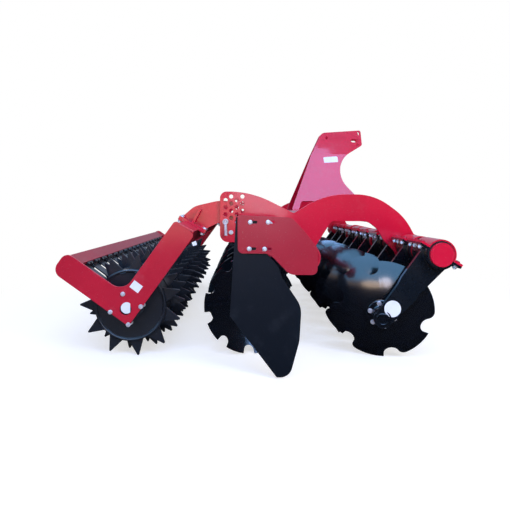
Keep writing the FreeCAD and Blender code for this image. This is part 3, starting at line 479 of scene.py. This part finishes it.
def notch_sector(bm, count, radius, lead):
    """One notch on +X and the tooth after it, as a chain of edges."""
    centre = Vector((DISC_R - radius * NOTCH_SINK, 0, 0))
    slope = math.tan(NOTCH_FLARE)
    b = centre.x + slope * radius
    c = centre.x ** 2 + radius ** 2 - DISC_R ** 2
    run = (math.sqrt(b ** 2 - (1 + slope ** 2) * c) - b) / (1 + slope ** 2)
    low = centre - Y * radius
    trailing = low + Vector((run, -slope * run, 0))
    vert = drawn_to(bm, bm.verts.new(trailing), low)
    if lead:
        x = ((DISC_R - lead) ** 2 - (radius + lead) ** 2 + centre.x ** 2) / (2 * centre.x)
        pole = Vector((x, math.sqrt((DISC_R - lead) ** 2 - x ** 2), 0))
        inner = centre + (pole - centre) * (radius / (radius + lead))
        leading = pole * (DISC_R / (DISC_R - lead))
        vert = swept(bm, vert, centre, turn_from(X, pole - centre) - TURN * 3 / 4, 8)
        vert = swept(bm, vert, pole, turn_from(inner - pole, leading - pole), 6)
    else:
        high = centre + Y * radius
        leading = high + Vector((run, slope * run, 0))
        vert = swept(bm, vert, centre, -TURN / 2, 12)
        vert = drawn_to(bm, vert, leading)
    following = Matrix.Rotation(TURN / count, 3, "Z") @ trailing
    swept(bm, vert, ORIGIN, turn_from(leading, following), 8 if lead else 4)


def disc_plate(row):
    """Dished and notched plate, axis on Z and rim at z = 0, with its hub flange and hub."""
    count, radius, lead = NOTCHES[row]
    bm = bmesh.new()
    notch_sector(bm, count, radius, lead)
    bmesh.ops.spin(bm, geom=bm.verts[:] + bm.edges[:], cent=ORIGIN, axis=Z, use_duplicate=True,
                   angle=TURN * (count - 1) / count, steps=count - 1)
    bmesh.ops.remove_doubles(bm, verts=bm.verts, dist=1e-5)
    ring = bmesh.ops.extrude_edge_only(bm, edges=bm.edges[:])["geom"]
    for vert in (item for item in ring if isinstance(item, bmesh.types.BMVert)):
        vert.co *= FLAT_R / vert.co.length
    inner = [item for item in ring if isinstance(item, bmesh.types.BMEdge)
             and all(abs(v.co.length - FLAT_R) < 1e-5 for v in item.verts)]
    spokes = [edge for edge in bm.edges
              if len({abs(v.co.length - FLAT_R) < 1e-5 for v in edge.verts}) == 2]
    bmesh.ops.contextual_create(bm, geom=inner)
    bmesh.ops.subdivide_edges(bm, edges=spokes, cuts=7, use_grid_fill=True)
    for vert in bm.verts:
        vert.co.z = dish(max(vert.co.length, FLAT_R))
    bmesh.ops.recalc_face_normals(bm, faces=bm.faces)
    if sum(face.normal.z for face in bm.faces) < 0:
        bmesh.ops.reverse_faces(bm, faces=bm.faces)
    bmesh.ops.solidify(bm, geom=bm.faces[:], thickness=DISC_T)
    face = dish(FLAT_R)
    seat = face + FLANGE_T
    top = seat + HUB_L
    flange = [(0, face), (FLANGE_R - 0.0004, face), (FLANGE_R, face + 0.0006),
              (FLANGE_R, seat - 0.0015), (FLANGE_R - 0.0015, seat)]
    hub = [(HUB_R + 0.005, seat), (HUB_R + 0.0015, seat + 0.0025), (HUB_R, seat + 0.006),
           (HUB_R, top - 0.0025), (HUB_R - 0.0015, top)]
    seal = [(0.0400, top), (0.0390, top - 0.0015), (0.0300, top - 0.0015), (0.0290, top), (BORE_R, top)]
    turned(bm, flange + hub + seal, Matrix.Identity(4), 40)
    return closed(bm)


def disc_bolts():
    """Hub bolts, from the flange through the disc's flat centre."""
    bm = bmesh.new()
    for i in range(HUB_BOLTS):
        out = Matrix.Rotation(TURN * i / HUB_BOLTS, 3, "Z") @ X
        seat = out * HUB_BOLT_R + Z * (dish(FLAT_R) + FLANGE_T)
        bolt(bm, seat, Z, HUB_BOLT, FLANGE_T + DISC_T, 0.4 * i)
    return closed(bm)


def disc_seat(row, number):
    """Matrix of a disc's place: phase about its axis, then onto its hub."""
    joint = joints[f"disc_{row}_{number:02d}_spin"]
    first, step = PHASES[row]
    turn = Z.rotation_difference(Vector(joint["axis"])).to_matrix().to_4x4()
    phase = Matrix.Rotation(math.radians(first + step * (number - 1)), 4, "Z")
    return Matrix.Translation(Vector(joint["pos_m"])) @ turn @ phase


for row in ROWS:
    shapes = ((disc_plate(row), "painted", disc_paint, "disc_steel"), (disc_bolts(), "bolts", zinc, "zinc"))
    for number in range(1, DISCS_PER_ROW + 1):
        name = f"disc_{row}_{number:02d}"
        for shape, suffix, material, slot in shapes:
            copy = shape.copy()
            bmesh.ops.transform(copy, matrix=disc_seat(row, number), verts=copy.verts)
            finished(f"{name}_{suffix}", copy, material, name, corner=30,
                     replaces=(name,) if suffix == "painted" else ())


# ---------------------------------------------------------------- clamps and arms
SHELL_BEAD_ARC = TURN * 0.49                # just short of half a turn
SPINDLE_CAP = ((0, 0), (0.036, 0), (0.036, 0.0095), (0.0345, 0.011), (0.024, 0.011), (0.0225, 0.0095),
               (0.014, 0.0095), (0.013, 0.011), (0, 0.0125))
CAP_SINK, CAP_SCREWS, CAP_SCREW_R = 0.004, 3, 0.029


def clamp_details(row):
    """Bolts of a row's clamps, and the welds and spindle caps of its arms."""
    side = ROWS[row]
    beam = box_middle(f"{row}_beam")
    out = Vector((math.cos(CLAMP_SPLIT), 0, math.sin(CLAMP_SPLIT)))
    up = -Vector((-out.z, 0, out.x))
    heads, nuts, welds, caps = bmesh.new(), bmesh.new(), bmesh.new(), bmesh.new()
    for number in range(1, DISCS_PER_ROW + 1):
        joint = joints[f"disc_{row}_{number:02d}_spin"]
        hub, axis = Vector(joint["pos_m"]), Vector(joint["axis"])
        middle = hub.y - side * CLAMP_OFFSET
        for reach in (-CLAMP_BOLT_REACH, CLAMP_BOLT_REACH):
            for i in (-1, 0, 1):
                seat = Vector((beam.x, middle + i * CLAMP_BOLT_PITCH, beam.z)) + out * reach
                bolt_head(heads, seat + up * CLAMP_FLANGE_T, up, CLAMP_BOLT, 0.5 * i)
                bolt_nut(nuts, seat - up * CLAMP_FLANGE_T, -up, CLAMP_BOLT, 0.5 * i)
        plate_y = hub.y - side * ARM_UPPER
        for face in (-1, 1):
            place = Vector((beam.x, plate_y + face * ARM_T / 2, beam.z))
            ring_weld(welds, place, Y, SHELL_R, FINE_BEAD, -out, SHELL_BEAD_ARC)
        half = ARM_T / 2 / abs(axis.y)
        foot = hub + axis * (ARM_LOWER / abs(axis.y))
        ring_weld(welds, foot - axis * half, axis, BOSS_R, 0.004)
        cap = facing(axis, foot + axis * (half - CAP_SINK), 0.3 * number)
        turned(caps, SPINDLE_CAP, cap, 24)
        for i in range(CAP_SCREWS):
            turn = Matrix.Rotation(TURN * i / CAP_SCREWS, 3, "Z")
            spot = cap @ (turn @ Vector((CAP_SCREW_R, 0, 0.010)))
            drum(caps, 0.0042, 0.004, facing(axis, spot, i), 6)
    finished(f"{row}_clamp_bolt_heads", closed(heads), satin_red_with_painted_shade, "frame", corner=30)
    finished(f"{row}_clamp_nuts", closed(nuts), zinc, "frame", corner=30)
    finished(f"{row}_arm_welds", closed(welds), black_weld, "frame")
    finished(f"{row}_spindle_caps", closed(caps), black_paint, "frame", corner=30)


for row in ROWS:
    clamp_details(row)


# ---------------------------------------------------------------- welds of the frame
def frame_welds():
    """Beads where plates and brackets meet the beams and cross tubes, and round the beams' caps."""
    bm = bmesh.new()
    front, rear = box_middle("front_beam"), box_middle("rear_beam")
    tubes = [box_middle("front_cross_tube"), box_middle("middle_cross_tube")]
    lean = math.tan(TOWER_SPLAY)
    for side, hand in HAND.items():
        plate = box_middle(f"side_plate_{side}")
        for face in (-1, 1):
            y = plate.y + face * SIDE_T / 2
            for beam in (front, rear):
                ring_weld(bm, Vector((beam.x, y, beam.z)), Y, BEAM_R, BEAD)
        for tube in tubes:
            ring_weld(bm, Vector((tube.x, plate.y - hand * SIDE_T / 2, tube.z)), Y, TUBE_R, FINE_BEAD)
        for face in (-1, 1):
            bracket = Vector((front.x, face_y(f"hitch_bracket_{side}", face), front.z))
            ring_weld(bm, bracket, Y, BEAM_R, BEAD)
        bracket = Vector((rear.x, face_y(f"shield_bracket_{side}", -hand), rear.z))
        ring_weld(bm, bracket, Y, BEAM_R, BEAD)
        for tube, reach in zip(tubes, FOOT_REACH):
            for face in (-1, 1):
                y = hand * (TOWER_MIDDLE + (TOWER_BEND - tube.z) * lean) + face * (TOWER_T / 2 + 0.0015)
                start = Matrix.Rotation(reach, 3, "Y") @ Z
                made = ring_weld(bm, Vector((tube.x, y, tube.z)), Y, TUBE_R, FINE_BEAD, start, -2 * reach)
                for vert in made:
                    vert.co.y -= hand * (vert.co.z - tube.z) * lean
    for hand in HAND.values():
        for beam, node in ((front, "front_beam"), (rear, "rear_beam")):
            cap = Vector((beam.x, face_y(node, hand) - hand * 0.0012, beam.z))
            ring_weld(bm, cap, Y, BEAM_R - 0.0090, 0.0016)
    finished("frame_welds", closed(bm), red_weld, "frame")


frame_welds()


# ---------------------------------------------------------------- roller and its frame
TOOTH_ANGLE, ROOT_ANGLE = TURN / TEETH, 0.38
DRUM_RIM = ((STUB_R, 0.0004), (0.178, 0.0004), (0.186, 0.0012), (0.190, 0.0060),
            (0.1945, 0.0090), (0.2000, 0.0090), (0.2036, 0.0060), (0.2036, -0.010))
RIM_TACKS, TACK_R, TACK_HALF = 14, 0.187, 0.016
BEARING_BOLTS, BEARING_BOLT_R, BEARING_TURN = 4, 0.085, -math.radians(10)
BEARING_REACH = 0.0361                      # from the end plate's inner face to the bearing's
SHAFT_END = ((0, 0.0075), (0.020, 0.0075), (0.0245, 0.0060), (0.0250, 0))
HOUSING, HOUSING_CORNER = (0.150, 0.150, 0.016), 0.030
SEAT_PLATE, SEAT_RISE = (0.190, 0.130, 0.010), 0.0445               # over the cross tube's middle
SEAT_BOLT_X, SEAT_BOLT_Y, SEAT_BOLT_RISE, SEAT_GRIP = 0.080, 0.045, 0.065, 0.026
ARM_FOOT_X, ARM_FOOT_Y, ARM_FOOT_RISE = 0.060, 0.0115, 0.066
SCRAPER_BOLT_Y, SCRAPER_BOLT_STEP, SCRAPER_FACE = 0.022, 0.026, 0.048
roller_axis = Vector(joints["roller_spin"]["pos_m"])
cross_tube, scraper_beam = box_middle("roller_cross_tube"), box_middle("scraper_beam")
scraper_lift = math.atan2(scraper_beam.z - roller_axis.z, scraper_beam.x - roller_axis.x)


def on_axis(y):
    """Point of the roller's axis."""
    return Vector((roller_axis.x, y, roller_axis.z))


def roller_welds():
    """Beads along both sides of each tooth's root, and round the drum's rims and stub shafts."""
    bm = bmesh.new()
    for ring in range(RINGS):
        y = (ring - (RINGS - 1) / 2) * RING_PITCH
        for tooth in range(TEETH):
            turn = TOOTH_ANGLE * (tooth - 0.25 + 0.5 * (ring % 2)) - ROOT_ANGLE / 2
            start = Matrix.Rotation(turn + TURN / 4, 3, "Y") @ X
            for face in (-RING_T / 2, RING_T / 2):
                ring_weld(bm, on_axis(y + face), Y, DRUM_R, 0.0034, start, ROOT_ANGLE, 0.018, 5)
    for hand in HAND.values():
        end = on_axis(hand * DRUM_HALF)
        ring_weld(bm, end - Y * hand * 0.003, Y, DRUM_R - 0.003, FINE_BEAD, sides=8)
        ring_weld(bm, end + Y * hand * 0.001, Y, STUB_R, BEAD)
    finished("roller_welds", closed(bm), black_weld, "roller")


def drum_ends():
    """Rolled rim and recessed head at each end of the drum, with a few tack welds."""
    bm = bmesh.new()
    for hand in HAND.values():
        seat = facing(Y * hand, on_axis(hand * DRUM_HALF))
        turned(bm, DRUM_RIM, seat, 96)
        for i in range(RIM_TACKS):
            turn = Matrix.Rotation(TURN * i / RIM_TACKS, 3, "Z")
            spot = seat @ (turn @ Vector((TACK_R, 0, 0.0030)))
            across = seat.to_3x3() @ (turn @ Y) * TACK_HALF
            line_weld(bm, spot - across, spot + across, 0.0035, 8)
    bmesh.ops.recalc_face_normals(bm, faces=bm.faces)
    finished("drum_end_rims", bm, roller_paint, "roller", corner=40)


def tube_joint(bm, centre, size, angle):
    """Four beads where a square tube meets an end plate."""
    half = size / 2 + 0.001
    turn = Matrix.Rotation(angle, 3, "Y")
    corners = [turn @ Vector((x * half, 0, z * half)) for x, z in ((-1, -1), (1, -1), (1, 1), (-1, 1))]
    for first, second in zip(corners, corners[1:] + corners[:1]):
        line_weld(bm, centre + first, centre + second, FINE_BEAD)


def end_plate_fittings(side, welds, bolts, covers):
    """Tube joints of an end plate, and its bearing's bolts, housing and shaft end."""
    hand = HAND[side]
    outward = Y * hand
    inner, outer = (face_y(f"roller_end_plate_{side}", way) for way in (-hand, hand))
    for tube, size, angle in ((cross_tube, CROSS_SIZE, CROSS_TILT),
                              (scraper_beam, SCRAPER_SIZE, -scraper_lift)):
        tube_joint(welds, Vector((tube.x, inner - hand * 0.001, tube.z)), size, angle)
    for i in range(BEARING_BOLTS):
        turn = TURN * i / BEARING_BOLTS + BEARING_TURN
        seat = on_axis(outer) + Matrix.Rotation(turn, 3, "Y") @ X * BEARING_BOLT_R
        bolt(bolts, seat, outward, CLAMP_BOLT, 0.0, 0.4 * i)
        drum(bolts, 0.0055, 0.008, facing(outward, seat + outward * 0.007, i), 10, 0.005)
        behind = Vector((seat.x, inner - hand * BEARING_REACH, seat.z))
        bolt(bolts, behind, -outward, FRAME_BOLT, 0.0, i)
    turned(covers, SHAFT_END, facing(outward, on_axis(outer - hand * 0.006)), 32)
    house = facing(-outward, on_axis(inner), TURN / 8)
    made = block(covers, HOUSING, house @ raised(HOUSING[2] / 2))
    corners = {edge for vert in made for edge in vert.link_edges
               if abs((edge.verts[0].co - edge.verts[1].co).normalized().y) > 0.9}
    bmesh.ops.bevel(covers, geom=list(corners), offset=HOUSING_CORNER, segments=5, profile=0.5,
                    affect="EDGES", material=-1)


def arm_seat(side, welds, bolts, plates):
    """Seat plate of a roller arm on the cross tube, with its bolts and beads."""
    middle = Vector((cross_tube.x, box_middle(f"roller_arm_{side}").y, cross_tube.z))
    seat = Matrix.Translation(middle) @ Matrix.Rotation(CROSS_TILT, 4, "Y")
    up = (seat.to_3x3() @ Z).normalized()
    block(plates, SEAT_PLATE, seat @ raised(SEAT_RISE))
    for x in (-SEAT_BOLT_X, SEAT_BOLT_X):
        for y in (-SEAT_BOLT_Y, SEAT_BOLT_Y):
            bolt(bolts, seat @ Vector((x, y, SEAT_BOLT_RISE)), up, FRAME_BOLT, SEAT_GRIP, x + y)
    for x in (-ARM_FOOT_X, ARM_FOOT_X):
        for y in (-ARM_FOOT_Y, ARM_FOOT_Y):
            end = seat @ Vector((x * 0.2, y, ARM_FOOT_RISE))
            line_weld(welds, seat @ Vector((x, y, ARM_FOOT_RISE)), end, 0.004)


def scraper_bolts(bm):
    """Four bolts for each scraper, under the beam."""
    out = Vector((math.cos(scraper_lift), 0, math.sin(scraper_lift)))
    across = Vector((-out.z, 0, out.x))
    face = scraper_beam - out * SCRAPER_FACE
    for i in range(RINGS - 1):
        y = (i - (RINGS - 2) / 2) * RING_PITCH
        for shift in (-SCRAPER_BOLT_Y, SCRAPER_BOLT_Y):
            for step in (-SCRAPER_BOLT_STEP, SCRAPER_BOLT_STEP):
                seat = Vector((face.x, y + shift, face.z)) + across * step
                bolt(bm, seat, -out, SCRAPER_BOLT, 0.0, i + step)


def roller_frame_details():
    """Everything small on the roller frame, one piece for each finish."""
    blade_bolts, welds, bolts, plates, covers = (bmesh.new() for _ in range(5))
    for side in HAND:
        end_plate_fittings(side, welds, bolts, covers)
        arm_seat(side, welds, bolts, plates)
    scraper_bolts(blade_bolts)
    finished("scraper_bolts", closed(blade_bolts), roller_paint, "roller_frame", corner=30)
    finished("roller_frame_welds", closed(welds), red_weld, "roller_frame")
    finished("roller_frame_bolts", closed(bolts), zinc, "roller_frame", corner=30)
    finished("roller_seat_plates", closed(plates), red_paint, "roller_frame", 0.0015)
    finished("roller_bearing_housings", closed(covers), roller_paint, "roller_frame",
             0.001)


roller_welds()
drum_ends()
roller_frame_details()


# ---------------------------------------------------------------- shields, hitch and pins
SHIELD_BOLTS = ((-0.278, 0.175), (-0.191, 0.175), (-0.283, 0.045), (-0.208, 0.044))   # from the rear beam
SHIELD_GRIP = 0.016                         # from the bracket's face to the nut's washer
STOP_BOLT_X, STOP_BOLT_Z = -0.336, 0.690
PIN_END = ((0, 0.004), (0.010, 0.004), (0.0125, 0.0015), (0.0130, -0.002))
LINCH_R, LINCH_L, LINCH_FROM_END = 0.0045, 0.050, 0.012
LINCH_RING_R, HANDLE_RING_R = 0.018, 0.0150


def shield_bolts():
    """Round-headed bolts through each bracket's slots, with washers, and nuts behind the shield."""
    bm = bmesh.new()
    rear = box_middle("rear_beam")
    for side, hand in HAND.items():
        face = face_y(f"shield_bracket_{side}", hand)
        height = abs(face_y("shield_bolts", hand) - face)
        head = ((0, height), (0.0060, height), (0.0088, 0.0052), (0.0098, 0.0014), (0.0098, 0))
        for i, (x, z) in enumerate(SHIELD_BOLTS):
            seat = Vector((rear.x + x, face, rear.z + z))
            drum(bm, 0.0112, 0.0014, facing(Y * hand, seat), 24)
            turned(bm, head, facing(Y * hand, seat), 24)
            inner = seat - Y * hand * SHIELD_GRIP
            drum(bm, 0.0140, 0.0018, facing(-Y * hand, inner), 16)
            drum(bm, 0.0115, 0.0090, facing(-Y * hand, inner, i), 6)
    finished("shield_bolt_heads", closed(bm), zinc, "frame", corner=30, replaces=("shield_bolts",))


def pin_details():
    """Linch pins and end caps of the lower link pins, and the rings round the depth pins' heads."""
    bm = bmesh.new()
    depth_low, depth_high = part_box("depth_pins")
    for side, hand in HAND.items():
        outward = Y * hand
        mount = next(m for m in frame["record"]["mounts"] if m["name"] == f"lower_link_pin_{side}")
        end = Vector(mount["pos_m"])
        end.y = face_y("lower_link_pins", hand)
        turned(bm, PIN_END, facing(outward, end - outward * 0.0042), 24)
        hole = end - outward * LINCH_FROM_END
        drum(bm, LINCH_R, LINCH_L, facing(Z, hole - Z * 0.026), 10)
        ring_weld(bm, hole + Z * 0.030 - outward * 0.016, X, LINCH_RING_R, 0.0022, pace=0.0045)
        head = Vector((depth_low.x + 0.0175, face_y("depth_pins", hand), depth_high.z - 0.018))
        ring_weld(bm, head - outward * 0.004, Y, HANDLE_RING_R, 0.0030, pace=0.004)
    finished("pin_fittings", closed(bm), zinc, "frame", corner=40)


def side_plate_bolts():
    """Stop bolt through each side plate, under its depth holes."""
    bm = bmesh.new()
    for side, hand in HAND.items():
        seat = Vector((STOP_BOLT_X, face_y(f"side_plate_{side}", hand), STOP_BOLT_Z))
        bolt(bm, seat, Y * hand, FRAME_BOLT, SIDE_T)
    finished("side_plate_bolts", closed(bm), zinc, "frame", corner=30)


shield_bolts()
pin_details()
side_plate_bolts()


# ---------------------------------------------------------------- blank labels
FILM_T, FILM_GAP = 0.0006, 0.0001
ARM_LABEL_R, ARM_LABEL_RISE = 0.044, 0.074      # middle of the label over the arm's boss
END_LABEL_X, END_LABEL_Z, END_LABEL, END_LABEL_TURN = -0.845, 0.414, (0.058, 0.046), math.radians(37)
TIP_LABEL_X, TIP_LABEL_Z, TIP_LABEL, TIP_LABEL_TURN = -0.526, 0.650, (0.024, 0.022), math.radians(20)
TOWER_LABEL_X, TOWER_LABEL_DROP = 0.462, 0.046  # middle of the label under the bend
TOWER_LABEL, TOWER_LABEL_TURN, TOWER_LABEL_CORNER = (0.116, 0.052), math.radians(4), 0.008
CAP_R, CAP_FLAT, CAP_T = 0.031, 0.020, 0.0030


def thickened(bm, height):
    """Raises a flat outline into a plate."""
    lifted = bmesh.ops.extrude_face_region(bm, geom=bm.faces[:])["geom"]
    bmesh.ops.translate(bm, vec=Z * height,
                        verts=[item for item in lifted if isinstance(item, bmesh.types.BMVert)])


def label(name, centre, normal, size, body, spin=0.0, corner=0.0):
    """Blank film label a fraction of a millimetre off its plate: round for one size, else square-cut."""
    bm = bmesh.new()
    if len(size) == 1:
        bmesh.ops.create_circle(bm, cap_ends=True, segments=48, radius=size[0])
    else:
        bmesh.ops.create_grid(bm, x_segments=1, y_segments=1, size=0.5,
                              matrix=Matrix.Diagonal((*size, 1, 1)))
    if corner:
        bmesh.ops.bevel(bm, geom=bm.verts[:], offset=corner, segments=4, profile=0.5,
                        affect="VERTICES", material=-1)
    thickened(bm, FILM_T)
    bmesh.ops.transform(bm, matrix=facing(normal, centre + normal * FILM_GAP, spin), verts=bm.verts)
    bmesh.ops.recalc_face_normals(bm, faces=bm.faces)
    finished(name, bm, label_white, body)


def shaft_cap(name, centre, hand):
    """Blank D-shaped cap pressed over the shaft's hole in an end plate."""
    bm = bmesh.new()
    bmesh.ops.create_circle(bm, cap_ends=True, segments=48, radius=CAP_R)
    bmesh.ops.bisect_plane(bm, geom=bm.verts[:] + bm.edges[:] + bm.faces[:], plane_co=X * CAP_FLAT,
                           plane_no=X, clear_outer=True)
    thickened(bm, CAP_T)
    bmesh.ops.transform(bm, matrix=Matrix.Translation(centre) @ Matrix.Rotation(TURN / 4, 4, "X"),
                        verts=bm.verts)
    if hand > 0:
        bmesh.ops.scale(bm, vec=Vector((1, -1, 1)), space=Matrix.Translation(-centre), verts=bm.verts)
    bmesh.ops.recalc_face_normals(bm, faces=bm.faces)
    finished(name, bm, label_white, "roller_frame", 0.0006)


def labels():
    """Labels on each side's outermost arm, end plate and tower plate, and the shaft caps."""
    for side, hand in HAND.items():
        row = "front" if hand < 0 else "rear"
        joint = joints[f"disc_{row}_01_spin"]
        hub, axis = Vector(joint["pos_m"]), Vector(joint["axis"])
        foot = hub + axis * (ARM_LOWER / abs(axis.y))
        beam = box_middle(f"{row}_beam")
        along = Vector((beam.x - foot.x, 0, beam.z - foot.z)).normalized()
        spot = foot + along * ARM_LABEL_RISE + Y * hand * (ARM_T / 2)
        label(f"arm_label_{side}", spot, Y * hand, (ARM_LABEL_R,), "frame")
        outer = face_y(f"roller_end_plate_{side}", hand)
        label(f"end_plate_label_{side}", Vector((END_LABEL_X, outer, END_LABEL_Z)), Y * hand, END_LABEL,
              "roller_frame", hand * END_LABEL_TURN)
        shaft_cap(f"shaft_cap_{side}", on_axis(outer) + Vector((0.006, 0, 0.008)), hand)
        label(f"arm_tip_label_{side}", Vector((TIP_LABEL_X, outer, TIP_LABEL_Z)), Y * hand, TIP_LABEL,
              "roller_frame", TIP_LABEL_TURN)
        leaning = Vector((0, hand * math.cos(TOWER_SPLAY), math.sin(TOWER_SPLAY)))
        y = hand * (TOWER_MIDDLE + TOWER_T / 2 + TOWER_LABEL_DROP * math.tan(TOWER_SPLAY))
        label(f"tower_label_{side}", Vector((TOWER_LABEL_X, y, TOWER_BEND - TOWER_LABEL_DROP)), leaning,
              TOWER_LABEL, "frame", TOWER_LABEL_TURN, TOWER_LABEL_CORNER)


labels()


# ---------------------------------------------------------------- floor, light and camera
FLOOR_GLOW, FLOOR_REACH = 0.60, (2.2, 2.6)      # half lengths of the lit part of the floor
EVEN_LIGHT = (0.16, 0.165, 0.175)
GROUND, HORIZON = (0.010, 0.010, 0.012), (0.50, 0.34, 0.24)
SKY_BLUE, SKY_PALE = (0.46, 1.10, 1.95), (0.34, 0.40, 0.54)


def floor_shader():
    """Pale floor that shows white away from the machine and keeps its soft shadow."""
    s = Shader(bpy.data.materials.new("pale_floor"))
    s.tree.nodes.remove(s.surface)
    plain = s.node("ShaderNodeBsdfDiffuse", {}, Color=(0.80, 0.80, 0.81))
    mirrored = s.node("ShaderNodeBsdfDiffuse", {}, Color=(0.012, 0.010, 0.010))
    lit = s.node("ShaderNodeBsdfDiffuse", {}, Color=(0.55, 0.55, 0.56))
    glow = s.node("ShaderNodeEmission", {}, Strength=FLOOR_GLOW)
    oval = s.stretched((1 / FLOOR_REACH[0], 1 / FLOOR_REACH[1], 1))
    far = s.node("ShaderNodeVectorMath", {"operation": "LENGTH"}, oval, output="Value")
    spread = s.step(far, 0.62, 1.25)
    near = s.node("ShaderNodeAddShader", {}, lit, glow, output="Shader")
    shown = s.node("ShaderNodeMixShader", {}, spread, near, s.node("ShaderNodeEmission", {}))
    unseen = s.node("ShaderNodeMixShader", {}, s.ray("Glossy"), plain, mirrored)
    s.feed(s.tree.nodes["Material Output"].inputs["Surface"],
           s.node("ShaderNodeMixShader", {}, s.ray("Camera"), unseen, shown))
    return s.owner


def studio_world():
    """White backdrop, soft even light, and an open sky for gloss to show."""
    s = Shader(bpy.data.worlds.new("studio"), "Background", "Generated")
    along, across, height = (s.node("ShaderNodeSeparateXYZ", {}, s.place, output=axis) for axis in "XYZ")
    sky = s.mix(s.step(height, 0.05, 0.17), HORIZON, SKY_BLUE)
    near = s.mix(s.step(height, -0.03, 0.02) * (1 - s.step(along, 0.34, 0.56)), GROUND, sky)
    far = s.mix(s.step(height, -0.08, 0.0), GROUND, SKY_PALE)
    gloss = s.mix(s.step(across, -0.15, 0.25), near, far)
    unseen = s.mix(s.ray("Glossy"), EVEN_LIGHT, gloss)
    return s.set(Color=s.mix(s.ray("Camera"), unseen, (1, 1, 1)))


bm = bmesh.new()
bmesh.ops.create_grid(bm, x_segments=1, y_segments=1, size=40)
floor_mesh = bpy.data.meshes.new("floor")
bm.to_mesh(floor_mesh)
bm.free()
floor_mesh.materials.append(floor_shader())
floor = bpy.data.objects.new("floor", floor_mesh)
bpy.context.scene.collection.objects.link(floor)

bpy.context.scene.world = studio_world()


def softbox(name, place, target, width, height, radiance, colour=(1, 1, 1), shape="RECTANGLE", gloss=True):
    """Flat lamp of a given brightness per area, turned to its target. Gloss may leave it out."""
    lamp = bpy.data.lights.new(name, "AREA")
    lamp.shape, lamp.size, lamp.size_y = shape, width, height
    lamp.energy = radiance * math.pi * width * height
    lamp.color = colour
    made = bpy.data.objects.new(name, lamp)
    made.matrix_world = facing(Vector(place) - Vector(target), Vector(place))
    made.visible_camera = False
    made.visible_glossy = gloss
    bpy.context.scene.collection.objects.link(made)


middle = (cad_low + cad_high) / 2
softbox("sky_panel", (-0.4, -4.6, 4.7), middle, 6.4, 2.6, 6.0, (0.31, 0.50, 1.0))
softbox("key_panel", (3.2, -4.5, 3.2), middle, 2.4, 1.8, 12.0, (1.0, 0.97, 0.92), gloss=False)
softbox("fill_panel", (-4.2, -4.4, 2.6), middle, 2.0, 1.6, 4.0, (1.0, 0.96, 0.95), gloss=False)
softbox("low_panel", (-1.45, -6.0, 0.72), (-1.45, 0, 0.72), 2.6, 0.8, 2.1, (1.0, 0.74, 0.54), "ELLIPSE")
softbox("round_panel", (0.05, -6.0, 0.95), (0.05, 0, 0.95), 1.1, 1.0, 3.7, (0.97, 0.88, 1.0), "ELLIPSE")
softbox("overhead_panel", (0.3, 0.6, 5.0), middle, 5.0, 4.0, 1.7, (0.85, 0.92, 1.0))
softbox("back_panel", (-3.5, 4.5, 3.2), middle, 3.0, 2.5, 1.8)

lens = bpy.data.cameras.new("camera")
lens.sensor_width, lens.lens = 36.0, 30.0
lens.shift_x, lens.shift_y = 0.0225, -0.092
camera = bpy.data.objects.new("camera", lens)
camera.location = (-0.257, -3.57, 0.844)
camera.rotation_euler = (math.radians(90), 0, 0)
bpy.context.scene.collection.objects.link(camera)
bpy.context.scene.camera = camera
bpy.context.scene.view_settings.view_transform = "Standard"
